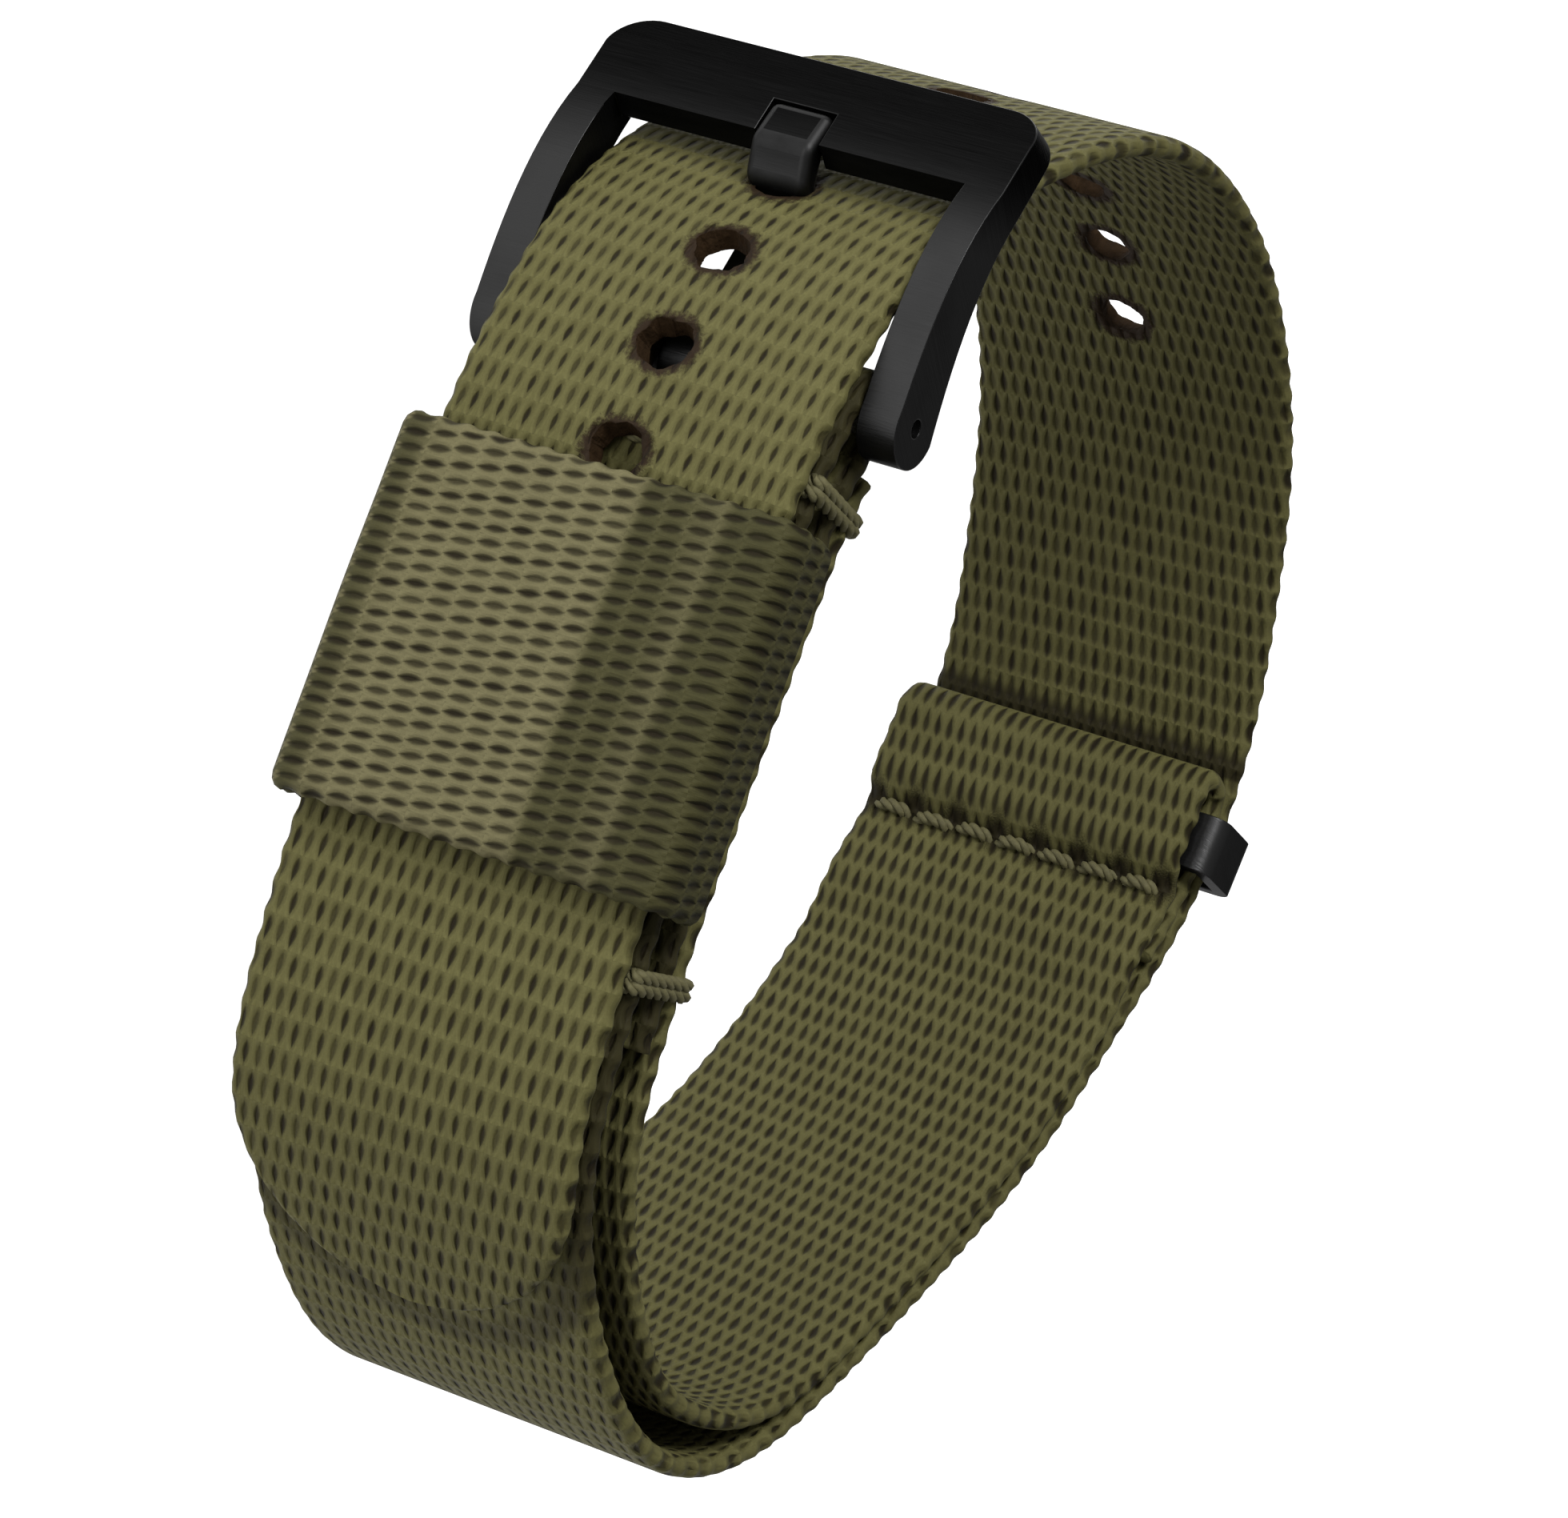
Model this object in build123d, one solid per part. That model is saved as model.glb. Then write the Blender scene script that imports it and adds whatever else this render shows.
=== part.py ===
from build123d import *
from math import atan2, cos, pi, radians, sin
import os

# A buckled webbing watch strap, standing on its edge. X and Y hold the side view of the loop,
# Z runs across the width of the webbing. All lengths are in millimetres.

# Webbing
STRAP_WIDTH = 20.0
WEB = 1.2                     # thickness of one layer
LAYER_GAP = 0.12              # between layers that are sewn together
SIDE_GAP = 0.25               # beside the edges of the webbing
HALF = STRAP_WIDTH / 2
PLY = WEB + LAYER_GAP         # from one sewn layer to the next

# The loop, along the middle of the main strap, from the spring bar down the front
LOOP_WIDTH = 65.0
LOOP_HEIGHT = 70.0
LOOP_SHARES = [
    (-0.369, 0.290), (-0.407, 0.214), (-0.427, 0.144), (-0.447, 0.074), (-0.468, -0.010),
    (-0.488, -0.092), (-0.497, -0.160), (-0.500, -0.213), (-0.492, -0.264), (-0.470, -0.314),
    (-0.436, -0.363), (-0.395, -0.406), (-0.339, -0.451), (-0.273, -0.484), (-0.200, -0.499),
    (-0.120, -0.494), (-0.045, -0.470), (0.035, -0.431), (0.100, -0.397), (0.160, -0.363),
    (0.218, -0.328), (0.268, -0.292), (0.316, -0.250), (0.362, -0.203), (0.408, -0.155),
    (0.450, -0.105), (0.481, -0.048), (0.498, 0.020), (0.496, 0.090), (0.482, 0.151),
    (0.464, 0.210), (0.437, 0.271), (0.400, 0.325), (0.351, 0.377), (0.285, 0.429),
    (0.209, 0.468), (0.132, 0.491), (0.055, 0.500), (-0.022, 0.495), (-0.099, 0.479),
    (-0.161, 0.457), (-0.222, 0.425), (-0.284, 0.385), (-0.333, 0.339),
]

# Tail, over the front of the loop
TAIL_PAST_BAR = 49.3          # from the spring bar down to the tip, along the loop
TAIL_LIFT_GAP = 0.6           # between the tail and the layer under it
TAIL_RISE_FROM = 23.0         # before the spring bar, where the tail starts to lift
TAIL_RISE_TO = 2.0
TAIL_LANDS_FROM = 30.0
TIP_GAP = 0.3

# Eyelet holes, melted through the tail
HOLE_COUNT = 13
HOLE_PITCH = 5.75
HOLE_WIDTH = 3.4
HOLE_LENGTH = 3.0
FIRST_HOLE = 38.75            # from the tip
TONGUE_HOLE = 4               # index of the hole that the tongue holds

# Spring bar at the buckle
BAR_RADIUS = 0.9
BAR_BORE = 0.66
BAR_END_WALL = 0.35
BAR_END_GAP = 0.15            # to each arm of the buckle
FOLD_GAP = 0.1                # round the bar, inside the webbing
PIN_RADIUS = 0.42
PIN_COLLAR_RADIUS = 0.6
PIN_COLLAR_LENGTH = 1.2
PIN_REACH = 1.5               # into each arm
RUNNING_GAP = 0.05
COIL_WIRE_RADIUS = 0.15
COIL_TURNS = 14
COIL_GAP = 0.05
FOLD_PAST_SEAM = 3.4          # of the folded end, below the seam under the keeper
SLOT_WIDTH = 3.8              # in the fold, for the tongue
SLOT_LENGTH = 2.5             # below the spring bar

# Buckle frame
OPENING_GAP = 0.25             # between the webbing and each arm
ARM_THICKNESS = 2.0
FRAME_REACH = 17.0            # from the spring bar to the far edge of the top bar
FRAME_TURN = 7.9              # degrees that the arms turn inward from the strap at the spring bar
ARM_OUTER_SHARES = [(0.122, 0.0), (0.158, 0.2), (0.167, 0.45), (0.106, 0.71), (0.066, 0.88), (0.010, 1.0)]
ARM_INNER_SHARES = [(-0.104, 1.0), (-0.080, 0.88), (-0.045, 0.70), (-0.020, 0.46), (-0.060, 0.2), (-0.122, 0.0)]
TOP_BAR_FROM = (0.106, 0.71)  # lower outer corner of the wide top bar, as a share of the reach
TOP_BAR_LEAN = 17.5           # degrees that its face turns from the arm
PLATE = 1.7                   # thickness of the wide top bar
FRAME_CORNER = 2.2
FRAME_EDGE = 0.6
PIN_HOLE_GAP = 0.05
PIN_HOLE_LIP = 0.1

# Tongue
TONGUE_WIDTH = 3.0
TONGUE_THICKNESS = 1.0
EYE_WALL = 0.75
HEAD_THICKNESS = 1.2
HEAD_PROUD = 0.25             # above the face of the top bar
HEAD_REACH = 1.95              # over the top bar
HEAD_LIP = 0.35               # beyond the bar's lower edge
NECK_LENGTH = 1.25            # along the hole that it fills
NECK_FLARE = 0.8
NOTCH_GAP = 0.15
NOTCH_LENGTH = 0.7            # of the part of the notch that goes right through
TONGUE_TAIL_GAP = 0.3

# Keeper, a band of the same webbing round the tail and the main strap
KEEPER_FROM = 7.4             # from the spring bar, along the loop
KEEPER_TAIL_GAP = 0.35
KEEPER_LENGTH = 19.5
KEEPER_CORNER = 1.6
KEEPER_INNER_CORNER = 0.4

# Second strap, sewn behind the main strap and folded round the ring
SHORT_FROM = 2.6
BELLY_GAP = 1.5               # clear gap between the two straps round the bottom
BELLY_FROM = 38.0
BELLY_TO = 62.0
RIGHT_FROM = 80.0             # where the two straps lie together again
RING_AT = 123.2               # from the spring bar, along the loop
SEAM_RISE = 6.0               # length over which the fold's two legs come together
FOLD_PAST_RING = 2.3
FOLD_END_BELOW_RING = 8.0

# Ring, a rectangular loop of flat bar round both straps
RING_BAR = 1.0
RING_LENGTH = 3.8             # along the strap
RING_SIDE = 1.3
RING_FOLD_GAP = 0.3
RING_OUTER_GAP = 0.25
RING_CORNER = 1.2
RING_EDGE = 0.25

# Sewing thread
THREAD_RADIUS = 0.2
STITCH_COUNT = 9
STITCH_SHARE = 0.8            # share of the pitch that a stitch covers
STITCH_INSET = 1.5            # from the edge of the webbing to the first stitch
BAR_SEAM_AT = 5.2             # from the spring bar, along the loop
KEEPER_SEAM_GAP = 3.2         # below the keeper
RING_SEAM_GAP = 2.7          # below the ring
WRAP_COUNT = 3                # turns of thread over each edge
WRAP_PITCH = 0.45
WRAP_DEPTH = 1.0
CUT = 1.0                     # overrun of every cut


def half_wave(share):
    """Smooth step from 0 to 1."""
    share = min(max(share, 0), 1)
    return (1 - cos(pi * share)) / 2


# Frame of the loop: a place is a distance along it and a height outward from it
loop = Spline([(x * LOOP_WIDTH, y * LOOP_HEIGHT) for x, y in LOOP_SHARES], periodic=True)
LOOP_LENGTH = loop.length


def along(distance):
    """Unit vector along the loop."""
    return loop % ((distance / LOOP_LENGTH) % 1)


def outward(distance):
    """Unit vector out of the loop."""
    ahead = along(distance)
    return Vector(ahead.Y, -ahead.X)


def place(distance, height=0):
    return loop @ ((distance / LOOP_LENGTH) % 1) + outward(distance) * height


def stations(start, end, spacing):
    count = max(round(abs(end - start) / spacing), 2)
    return [start + (end - start) * i / count for i in range(count + 1)]


def band(start, end, low, high, z_low, z_high, spacing):
    """Solid between two heights over the loop, from one station to another."""
    steps = stations(start, end, spacing)
    outer = [place(s, high(s)) for s in steps]
    inner = [place(s, low(s)) for s in steps]
    sides = [Spline(outer), Line(outer[-1], inner[-1]), Spline(inner[::-1]), Line(inner[0], outer[0])]
    return Pos(Z=z_low) * extrude(Face(Wire(sides)), z_high - z_low, dir=(0, 0, 1))


def ribbon(start, end, middle, spacing):
    """One layer of webbing whose middle follows a height over the loop."""
    return band(start, end, lambda s: middle(s) - WEB / 2, lambda s: middle(s) + WEB / 2,
                -HALF, HALF, spacing)


def fold(centre, radius, start_direction, turn):
    """Half turn of webbing round a centre, from a direction through a turn in degrees."""
    outer = radius + WEB / 2
    inner = radius - WEB / 2
    across = start_direction.rotate(Axis.Z, turn)
    half = start_direction.rotate(Axis.Z, turn / 2)
    edges = [
        ThreePointArc(centre + start_direction * outer, centre + half * outer, centre + across * outer),
        Line(centre + across * outer, centre + across * inner),
        ThreePointArc(centre + across * inner, centre + half * inner, centre + start_direction * inner),
        Line(centre + start_direction * inner, centre + start_direction * outer),
    ]
    return Pos(Z=-HALF) * extrude(Face(Wire(edges)), STRAP_WIDTH, dir=(0, 0, 1))


STATION = 4.5                 # spacing of the stations of a long band
SHORT_STATION = 1.25
FINE_STATION = 1.5

# Main strap
TAIL_HEIGHT = WEB + TAIL_LIFT_GAP
TIP_AT = LOOP_LENGTH + TAIL_PAST_BAR
FOLD_RADIUS = BAR_RADIUS + FOLD_GAP + WEB / 2
bar_centre = place(0, -FOLD_RADIUS)


def main_height(distance):
    before_bar = LOOP_LENGTH - distance
    rise = half_wave((TAIL_RISE_FROM - before_bar) / (TAIL_RISE_FROM - TAIL_RISE_TO))
    land = half_wave((-before_bar - TAIL_LANDS_FROM) / (TAIL_PAST_BAR - TAIL_LANDS_FROM))
    return TAIL_HEIGHT * rise - (TAIL_LIFT_GAP - TIP_GAP) * land


def leg_height(distance):
    return -2 * FOLD_RADIUS + (2 * FOLD_RADIUS - 2 * PLY) * half_wave(distance / BAR_SEAM_AT)


main_line = Spline([place(s, main_height(s)) for s in stations(0, TIP_AT, STATION)])


def tail_plane(from_tip):
    """Plane on the main strap: X across the webbing, Y away from the tip, Z outward."""
    share = 1 - from_tip / main_line.length
    ahead = main_line % share
    return Plane(main_line @ share, x_dir=(0, 0, 1), z_dir=(ahead.Y, -ahead.X, 0))


def oval_hole(from_tip):
    cut = Ellipse(HOLE_WIDTH / 2, HOLE_LENGTH / 2)
    return extrude(tail_plane(from_tip) * cut, WEB / 2 + TAIL_LIFT_GAP / 2, both=True)


def rounded_tip(start):
    """End of the tail from a station on, with its square end cut half-round."""
    beyond = HALF + 2 * CUT
    waste = Pos(Y=-beyond / 2) * Rectangle(STRAP_WIDTH + 2 * CUT, beyond) - Circle(HALF)
    return ribbon(start, TIP_AT, main_height, FINE_STATION) - extrude(tail_plane(HALF) * waste, HALF, both=True)


bar_plane = Plane(bar_centre, x_dir=along(0), z_dir=(0, 0, 1))
slot_above = FOLD_RADIUS + WEB
slot_half = FOLD_RADIUS + (WEB + TAIL_LIFT_GAP) / 2
tongue_slot = bar_plane * Pos(X=(SLOT_LENGTH - slot_above) / 2) * Box(
    SLOT_LENGTH + slot_above, 2 * slot_half, SLOT_WIDTH)

TIP_FROM = TIP_AT - HALF - 2 * CUT
KEEPER_SEAM_AT = KEEPER_FROM + KEEPER_LENGTH + KEEPER_SEAM_GAP
FOLD_LEG = KEEPER_SEAM_AT + FOLD_PAST_SEAM
main_strap = ribbon(0, TIP_FROM, main_height, STATION) + rounded_tip(TIP_FROM)
main_strap += fold(bar_centre, FOLD_RADIUS, outward(0), -180)
main_strap += ribbon(0, FOLD_LEG, leg_height, SHORT_STATION)
main_strap -= tongue_slot
for hole in range(HOLE_COUNT):
    main_strap -= oval_hole(FIRST_HOLE + hole * HOLE_PITCH)

# Keeper
KEEPER_TO = KEEPER_FROM + KEEPER_LENGTH
keeper_outer = TAIL_HEIGHT + WEB / 2 + KEEPER_TAIL_GAP
keeper_inner = -WEB / 2 - LAYER_GAP
keeper_plane = Plane(place(KEEPER_FROM), x_dir=outward(KEEPER_FROM), z_dir=along(KEEPER_FROM))
keeper_depth = keeper_outer - keeper_inner
keeper_middle = (keeper_outer + keeper_inner) / 2
keeper_width = STRAP_WIDTH + 2 * SIDE_GAP
keeper_window = RectangleRounded(keeper_depth, keeper_width, KEEPER_INNER_CORNER)
keeper_section = RectangleRounded(keeper_depth + 2 * WEB, keeper_width + 2 * WEB, KEEPER_CORNER) - keeper_window
keeper_path = Spline([place(s) for s in stations(KEEPER_FROM, KEEPER_TO, STATION)])
keeper = sweep(keeper_plane * Pos(X=keeper_middle) * keeper_section, path=keeper_path)

# Second strap and its fold round the ring
CAVITY = RING_BAR + 2 * RING_FOLD_GAP
RING_FOLD_RADIUS = (CAVITY + WEB) / 2
RING_FOLD_AT = RING_AT + FOLD_PAST_RING
RING_SEAM_AT = RING_AT - RING_LENGTH / 2 - RING_SEAM_GAP


def short_height(distance):
    stacked = leg_height(distance) - PLY
    belly = -PLY - BELLY_GAP
    right = -PLY
    sewn = -2 * PLY
    at_ring = -PLY - 2 * RING_FOLD_RADIUS
    height = stacked + (belly - stacked) * half_wave((distance - BELLY_FROM) / (BELLY_TO - BELLY_FROM))
    height += (right - belly) * half_wave((distance - BELLY_TO) / (RIGHT_FROM - BELLY_TO))
    fold_end = RING_AT - FOLD_END_BELOW_RING
    height += (sewn - right) * half_wave((distance - fold_end + SEAM_RISE) / SEAM_RISE)
    opens_from = RING_SEAM_AT + THREAD_RADIUS
    opens_to = RING_AT - RING_LENGTH / 2
    return height + (at_ring - sewn) * half_wave((distance - opens_from) / (opens_to - opens_from))


short_strap = ribbon(SHORT_FROM, RING_FOLD_AT, short_height, SHORT_STATION)
ring_fold_centre = place(RING_FOLD_AT, -PLY - RING_FOLD_RADIUS)
short_strap += fold(ring_fold_centre, RING_FOLD_RADIUS, -outward(RING_FOLD_AT), -180)
short_strap += ribbon(RING_AT - FOLD_END_BELOW_RING, RING_FOLD_AT, lambda s: -PLY, FINE_STATION)

# Ring, in the plane square to the strap
ring_plane = Plane(place(RING_AT), x_dir=outward(RING_AT), z_dir=along(RING_AT))
ring_low = -PLY - WEB / 2 - RING_FOLD_GAP - RING_BAR
ring_high = WEB / 2 + RING_OUTER_GAP + RING_BAR
ring_depth = ring_high - ring_low
ring_half = HALF + SIDE_GAP + RING_SIDE
ring_middle = (ring_low + ring_high) / 2
ring_outline = Pos(X=ring_middle) * RectangleRounded(ring_depth, 2 * ring_half, RING_CORNER)
ring_window = Pos(X=ring_middle) * Rectangle(ring_depth - 2 * RING_BAR, 2 * (ring_half - RING_SIDE))
ring = extrude(ring_plane * (ring_outline - ring_window), RING_LENGTH / 2, both=True)
ring_ends = ring.faces().sort_by(Axis(place(RING_AT), along(RING_AT)))
ring = chamfer([e for end in (ring_ends[0], ring_ends[-1]) for e in end.outer_wire().edges()], RING_EDGE)
ring_axis = place(RING_AT, ring_low + RING_BAR / 2)

# Buckle frame, seen from the side: U runs out of the loop and V up the arm, from the spring bar
lean = atan2(-along(0).X, -along(0).Y) - radians(FRAME_TURN)
up_arm = Vector(sin(lean), cos(lean))
out_arm = Vector(-cos(lean), sin(lean))


def arm_point(shares):
    return bar_centre + out_arm * (shares[0] * FRAME_REACH) + up_arm * (shares[1] * FRAME_REACH)


arm_outer = Spline([arm_point(share) for share in ARM_OUTER_SHARES])
arm_inner = Spline([arm_point(share) for share in ARM_INNER_SHARES])
arm_end = ThreePointArc(arm_inner @ 1, bar_centre - up_arm * (ARM_OUTER_SHARES[0][0] * FRAME_REACH), arm_outer @ 0)
frame_side = Face(Wire([arm_outer, Line(arm_outer @ 1, arm_inner @ 0), arm_inner, arm_end]))
opening_half = HALF + OPENING_GAP
frame_half = opening_half + ARM_THICKNESS

# The top bar's own axes: A runs up its face from the lower outer corner, D goes into the bar
bar_corner = arm_point(TOP_BAR_FROM)
tilt = lean + radians(TOP_BAR_LEAN)
up_bar = Vector(sin(tilt), cos(tilt))
into_bar = Vector(cos(tilt), -sin(tilt))


def top_bar_point(a, d):
    return bar_corner + up_bar * a + into_bar * d


def top_bar_block(a_from, a_to, d_from, d_to, width):
    """Block in the top bar's own axes, as wide as said across the strap."""
    centre = top_bar_point((a_from + a_to) / 2, (d_from + d_to) / 2)
    return Plane(centre, x_dir=up_bar, z_dir=(0, 0, 1)) * Box(a_to - a_from, d_to - d_from, width)


frame_blank = Pos(Z=-frame_half) * extrude(frame_side, 2 * frame_half, dir=(0, 0, 1))
top_end = frame_blank.faces().sort_by(Axis(bar_centre, up_arm))[-1]
top_edges = top_end.edges().sort_by(Axis.Z)
buckle = fillet([top_edges[0], top_edges[-1]], FRAME_CORNER)
outer_face = buckle.faces().sort_by(Axis(bar_centre, out_arm))[-1]
buckle = fillet(outer_face.outer_wire().edges(), FRAME_EDGE)
buckle -= top_bar_block(-2 * FRAME_REACH, 0, -FRAME_REACH, FRAME_REACH, 2 * opening_half)
buckle -= top_bar_block(-FRAME_REACH, FRAME_REACH, PLATE, FRAME_REACH, 2 * opening_half)
notch_width = TONGUE_WIDTH + 2 * NOTCH_GAP
notch_depth = HEAD_THICKNESS - HEAD_PROUD + NOTCH_GAP
buckle -= top_bar_block(-CUT, HEAD_REACH + NOTCH_GAP, -CUT, notch_depth, notch_width)
buckle -= top_bar_block(-CUT, NOTCH_LENGTH, -CUT, PLATE + CUT, notch_width)
pin_hole_radius = PIN_RADIUS + PIN_HOLE_GAP
buckle -= Pos(bar_centre) * Cylinder(pin_hole_radius, 2 * frame_half + CUT)

# Tongue
tongue_hole = tail_plane(FIRST_HOLE + TONGUE_HOLE * HOLE_PITCH).origin
hole_a = (tongue_hole - bar_corner).dot(up_bar)
hole_d = (tongue_hole - bar_corner).dot(into_bar)
neck_low = hole_a - NECK_LENGTH / 2
neck_high = hole_a + NECK_LENGTH / 2
neck_end = hole_d + WEB / 2 + TONGUE_TAIL_GAP + TONGUE_THICKNESS
head_under = HEAD_THICKNESS - HEAD_PROUD
head_outline = [
    (-HEAD_LIP, -HEAD_PROUD), (HEAD_REACH, -HEAD_PROUD), (HEAD_REACH, head_under),
    (NOTCH_LENGTH - NOTCH_GAP, head_under), (neck_high, hole_d - WEB / 2), (neck_high, neck_end),
    (neck_low, neck_end), (neck_low, hole_d - WEB / 2 - NECK_FLARE),
]
head_face = Face(Wire(Polyline([top_bar_point(a, d) for a, d in head_outline], close=True).edges()))
head = Pos(Z=-TONGUE_WIDTH / 2) * extrude(head_face, TONGUE_WIDTH, dir=(0, 0, 1))
foot = top_bar_point(neck_high - TONGUE_THICKNESS / 2, neck_end - TONGUE_THICKNESS / 2)
stem_middle = (foot + bar_centre) / 2
stem_length = (foot - bar_centre).length
stem = Plane(stem_middle, x_dir=foot - bar_centre, z_dir=(0, 0, 1)) * Box(
    stem_length, TONGUE_THICKNESS, TONGUE_WIDTH)
eye_bore = BAR_RADIUS + RUNNING_GAP
tongue = head + stem + Pos(bar_centre) * Cylinder(eye_bore + EYE_WALL, TONGUE_WIDTH)
tongue -= Pos(bar_centre) * Cylinder(eye_bore, TONGUE_WIDTH + CUT)

# Spring bar: a tube, a sprung pin at each end and the coil between them
tube_half = opening_half - BAR_END_GAP
tube = Cylinder(BAR_RADIUS, 2 * tube_half) - Cylinder(BAR_BORE, 2 * (tube_half - BAR_END_WALL))
tube = Pos(bar_centre) * (tube - Cylinder(PIN_RADIUS + RUNNING_GAP, 2 * tube_half + CUT))
collar_top = tube_half - BAR_END_WALL - PIN_HOLE_LIP
pin_tip = opening_half + PIN_REACH
collar = Pos(Z=collar_top - PIN_COLLAR_LENGTH / 2) * Cylinder(PIN_COLLAR_RADIUS, PIN_COLLAR_LENGTH)
shank = Pos(Z=(collar_top + pin_tip) / 2) * Cylinder(PIN_RADIUS, pin_tip - collar_top)
pin = Pos(bar_centre) * (collar + shank)
pin = fillet(pin.edges().sort_by(Axis.Z)[-1], PIN_RADIUS / 2)
lower_pin = mirror(pin, Plane.XY)
coil_half = collar_top - PIN_COLLAR_LENGTH - COIL_GAP - COIL_WIRE_RADIUS
coil_radius = BAR_BORE - RUNNING_GAP - COIL_WIRE_RADIUS
coil_path = Pos(Z=-coil_half) * Helix(2 * coil_half / COIL_TURNS, 2 * coil_half, coil_radius)
coil_section = Plane(coil_path @ 0, z_dir=coil_path % 0) * Circle(COIL_WIRE_RADIUS)
coil = Pos(bar_centre) * sweep(coil_section, path=coil_path, is_frenet=True)


# Stitches, each a closed turn of thread through the layers
def thread(start, end):
    return Plane(start, z_dir=end - start) * Pos(Z=(end - start).length / 2) * Cylinder(
        THREAD_RADIUS, (end - start).length)


def stitch(distance, z_from, z_to, low, high):
    """Thread along both faces of the layers and through them at both ends."""
    up = Vector(0, 0, 1)
    corners = [place(distance, low) + up * z_from, place(distance, low) + up * z_to,
               place(distance, high) + up * z_to, place(distance, high) + up * z_from]
    turn = Pos(corners[0]) * Sphere(THREAD_RADIUS)
    for i in range(1, 4):
        turn += Pos(corners[i]) * Sphere(THREAD_RADIUS)
    for i in range(4):
        turn += thread(corners[i], corners[(i + 1) % 4])
    return turn


def seam(distance, low, high, wraps):
    """Row of stitches across the webbing, with turns of thread over both edges."""
    first = HALF - STITCH_INSET
    pitch = 2 * first / STITCH_COUNT
    run = pitch * STITCH_SHARE
    turns = []
    for i in range(STITCH_COUNT):
        middle = (i + 1 / 2) * pitch - first
        turns.append(stitch(distance, middle - run / 2, middle + run / 2, low, high))
    for i in range(wraps):
        at = distance + (i - (wraps - 1) / 2) * WRAP_PITCH
        turns.append(stitch(at, HALF - WRAP_DEPTH, HALF + THREAD_RADIUS, low, high))
        turns.append(stitch(at, -HALF + WRAP_DEPTH, -HALF - THREAD_RADIUS, low, high))
    return Compound([solid for turn in turns for solid in turn.solids()])


bar_seam = seam(BAR_SEAM_AT, short_height(BAR_SEAM_AT) - WEB / 2, WEB / 2, WRAP_COUNT)
keeper_seam = seam(KEEPER_SEAM_AT, short_height(KEEPER_SEAM_AT) - WEB / 2, WEB / 2, WRAP_COUNT)
ring_seam = seam(RING_SEAM_AT, short_height(RING_SEAM_AT) - WEB / 2, -PLY + WEB / 2 - THREAD_RADIUS, 0)

# Stand the assembly on its lowest edge, centred
parts = {
    "main_strap": main_strap, "short_strap": short_strap, "keeper": keeper, "buckle_frame": buckle,
    "tongue": tongue, "spring_bar_tube": tube, "spring_bar_pin_upper": pin,
    "spring_bar_pin_lower": lower_pin, "spring_bar_coil": coil, "ring": ring,
    "bar_seam": bar_seam, "keeper_seam": keeper_seam, "ring_seam": ring_seam,
}
box = Compound([solid for shape in parts.values() for solid in shape.solids()]).bounding_box()
stand = Pos(-(box.min.X + box.max.X) / 2, -(box.min.Y + box.max.Y) / 2, -box.min.Z)
os.makedirs("parts", exist_ok=True)
for node, shape in parts.items():
    export_step(stand * shape, f"parts/{node}.step")
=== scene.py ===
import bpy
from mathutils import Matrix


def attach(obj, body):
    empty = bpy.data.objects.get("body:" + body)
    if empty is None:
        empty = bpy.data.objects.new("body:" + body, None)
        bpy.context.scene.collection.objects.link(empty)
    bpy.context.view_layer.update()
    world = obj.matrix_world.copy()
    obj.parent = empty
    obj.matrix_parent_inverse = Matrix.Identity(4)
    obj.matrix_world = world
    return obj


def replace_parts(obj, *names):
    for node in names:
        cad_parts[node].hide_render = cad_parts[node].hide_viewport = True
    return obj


bl_info = {
    "name": "Webbing watch strap",
    "version": (1, 0, 0),
    "blender": (4, 5, 0),
    "location": "View3D > Sidebar > Strap",
    "description": "A buckled webbing watch strap with a keeper and a ring, dressed over its CAD frame",
    "category": "Object",
}

from math import cos, hypot, pi, radians, sin, sqrt

import bmesh
import bpy
import numpy as np
from bpy.props import FloatProperty, FloatVectorProperty, IntProperty, PointerProperty
from mathutils import Matrix, Vector, noise

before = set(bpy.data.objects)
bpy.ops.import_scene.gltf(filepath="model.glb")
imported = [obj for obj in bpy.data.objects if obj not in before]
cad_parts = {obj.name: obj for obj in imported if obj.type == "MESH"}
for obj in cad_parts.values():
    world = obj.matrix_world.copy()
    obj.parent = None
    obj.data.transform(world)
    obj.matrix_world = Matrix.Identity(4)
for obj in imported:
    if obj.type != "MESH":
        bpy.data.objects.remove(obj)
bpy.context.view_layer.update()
MM = 0.001

# Sizes in millimetres, as the part has them. Distances run along the loop from the spring bar, and heights
# are off the loop's line, outward.
LOOP_WIDTH = 65.0
LOOP_HEIGHT = 70.0
LOOP_SHARES = [
    (-0.369, 0.290), (-0.407, 0.214), (-0.427, 0.144), (-0.447, 0.074), (-0.468, -0.010),
    (-0.488, -0.092), (-0.497, -0.160), (-0.500, -0.213), (-0.492, -0.264), (-0.470, -0.314),
    (-0.436, -0.363), (-0.395, -0.406), (-0.339, -0.451), (-0.273, -0.484), (-0.200, -0.499),
    (-0.120, -0.494), (-0.045, -0.470), (0.035, -0.431), (0.100, -0.397), (0.160, -0.363),
    (0.218, -0.328), (0.268, -0.292), (0.316, -0.250), (0.362, -0.203), (0.408, -0.155),
    (0.450, -0.105), (0.481, -0.048), (0.498, 0.020), (0.496, 0.090), (0.482, 0.151),
    (0.464, 0.210), (0.437, 0.271), (0.400, 0.325), (0.351, 0.377), (0.285, 0.429),
    (0.209, 0.468), (0.132, 0.491), (0.055, 0.500), (-0.022, 0.495), (-0.099, 0.479),
    (-0.161, 0.457), (-0.222, 0.425), (-0.284, 0.385), (-0.333, 0.339),
]
LOOP_STEPS = 40  # from one knot of the loop to the next
STAND = Vector((0.850304, -0.007771, 12.25))  # the loop's own origin in the frame
WEB = 1.2  # thickness of one layer
HALF = 10.0  # half the webbing's width
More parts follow.
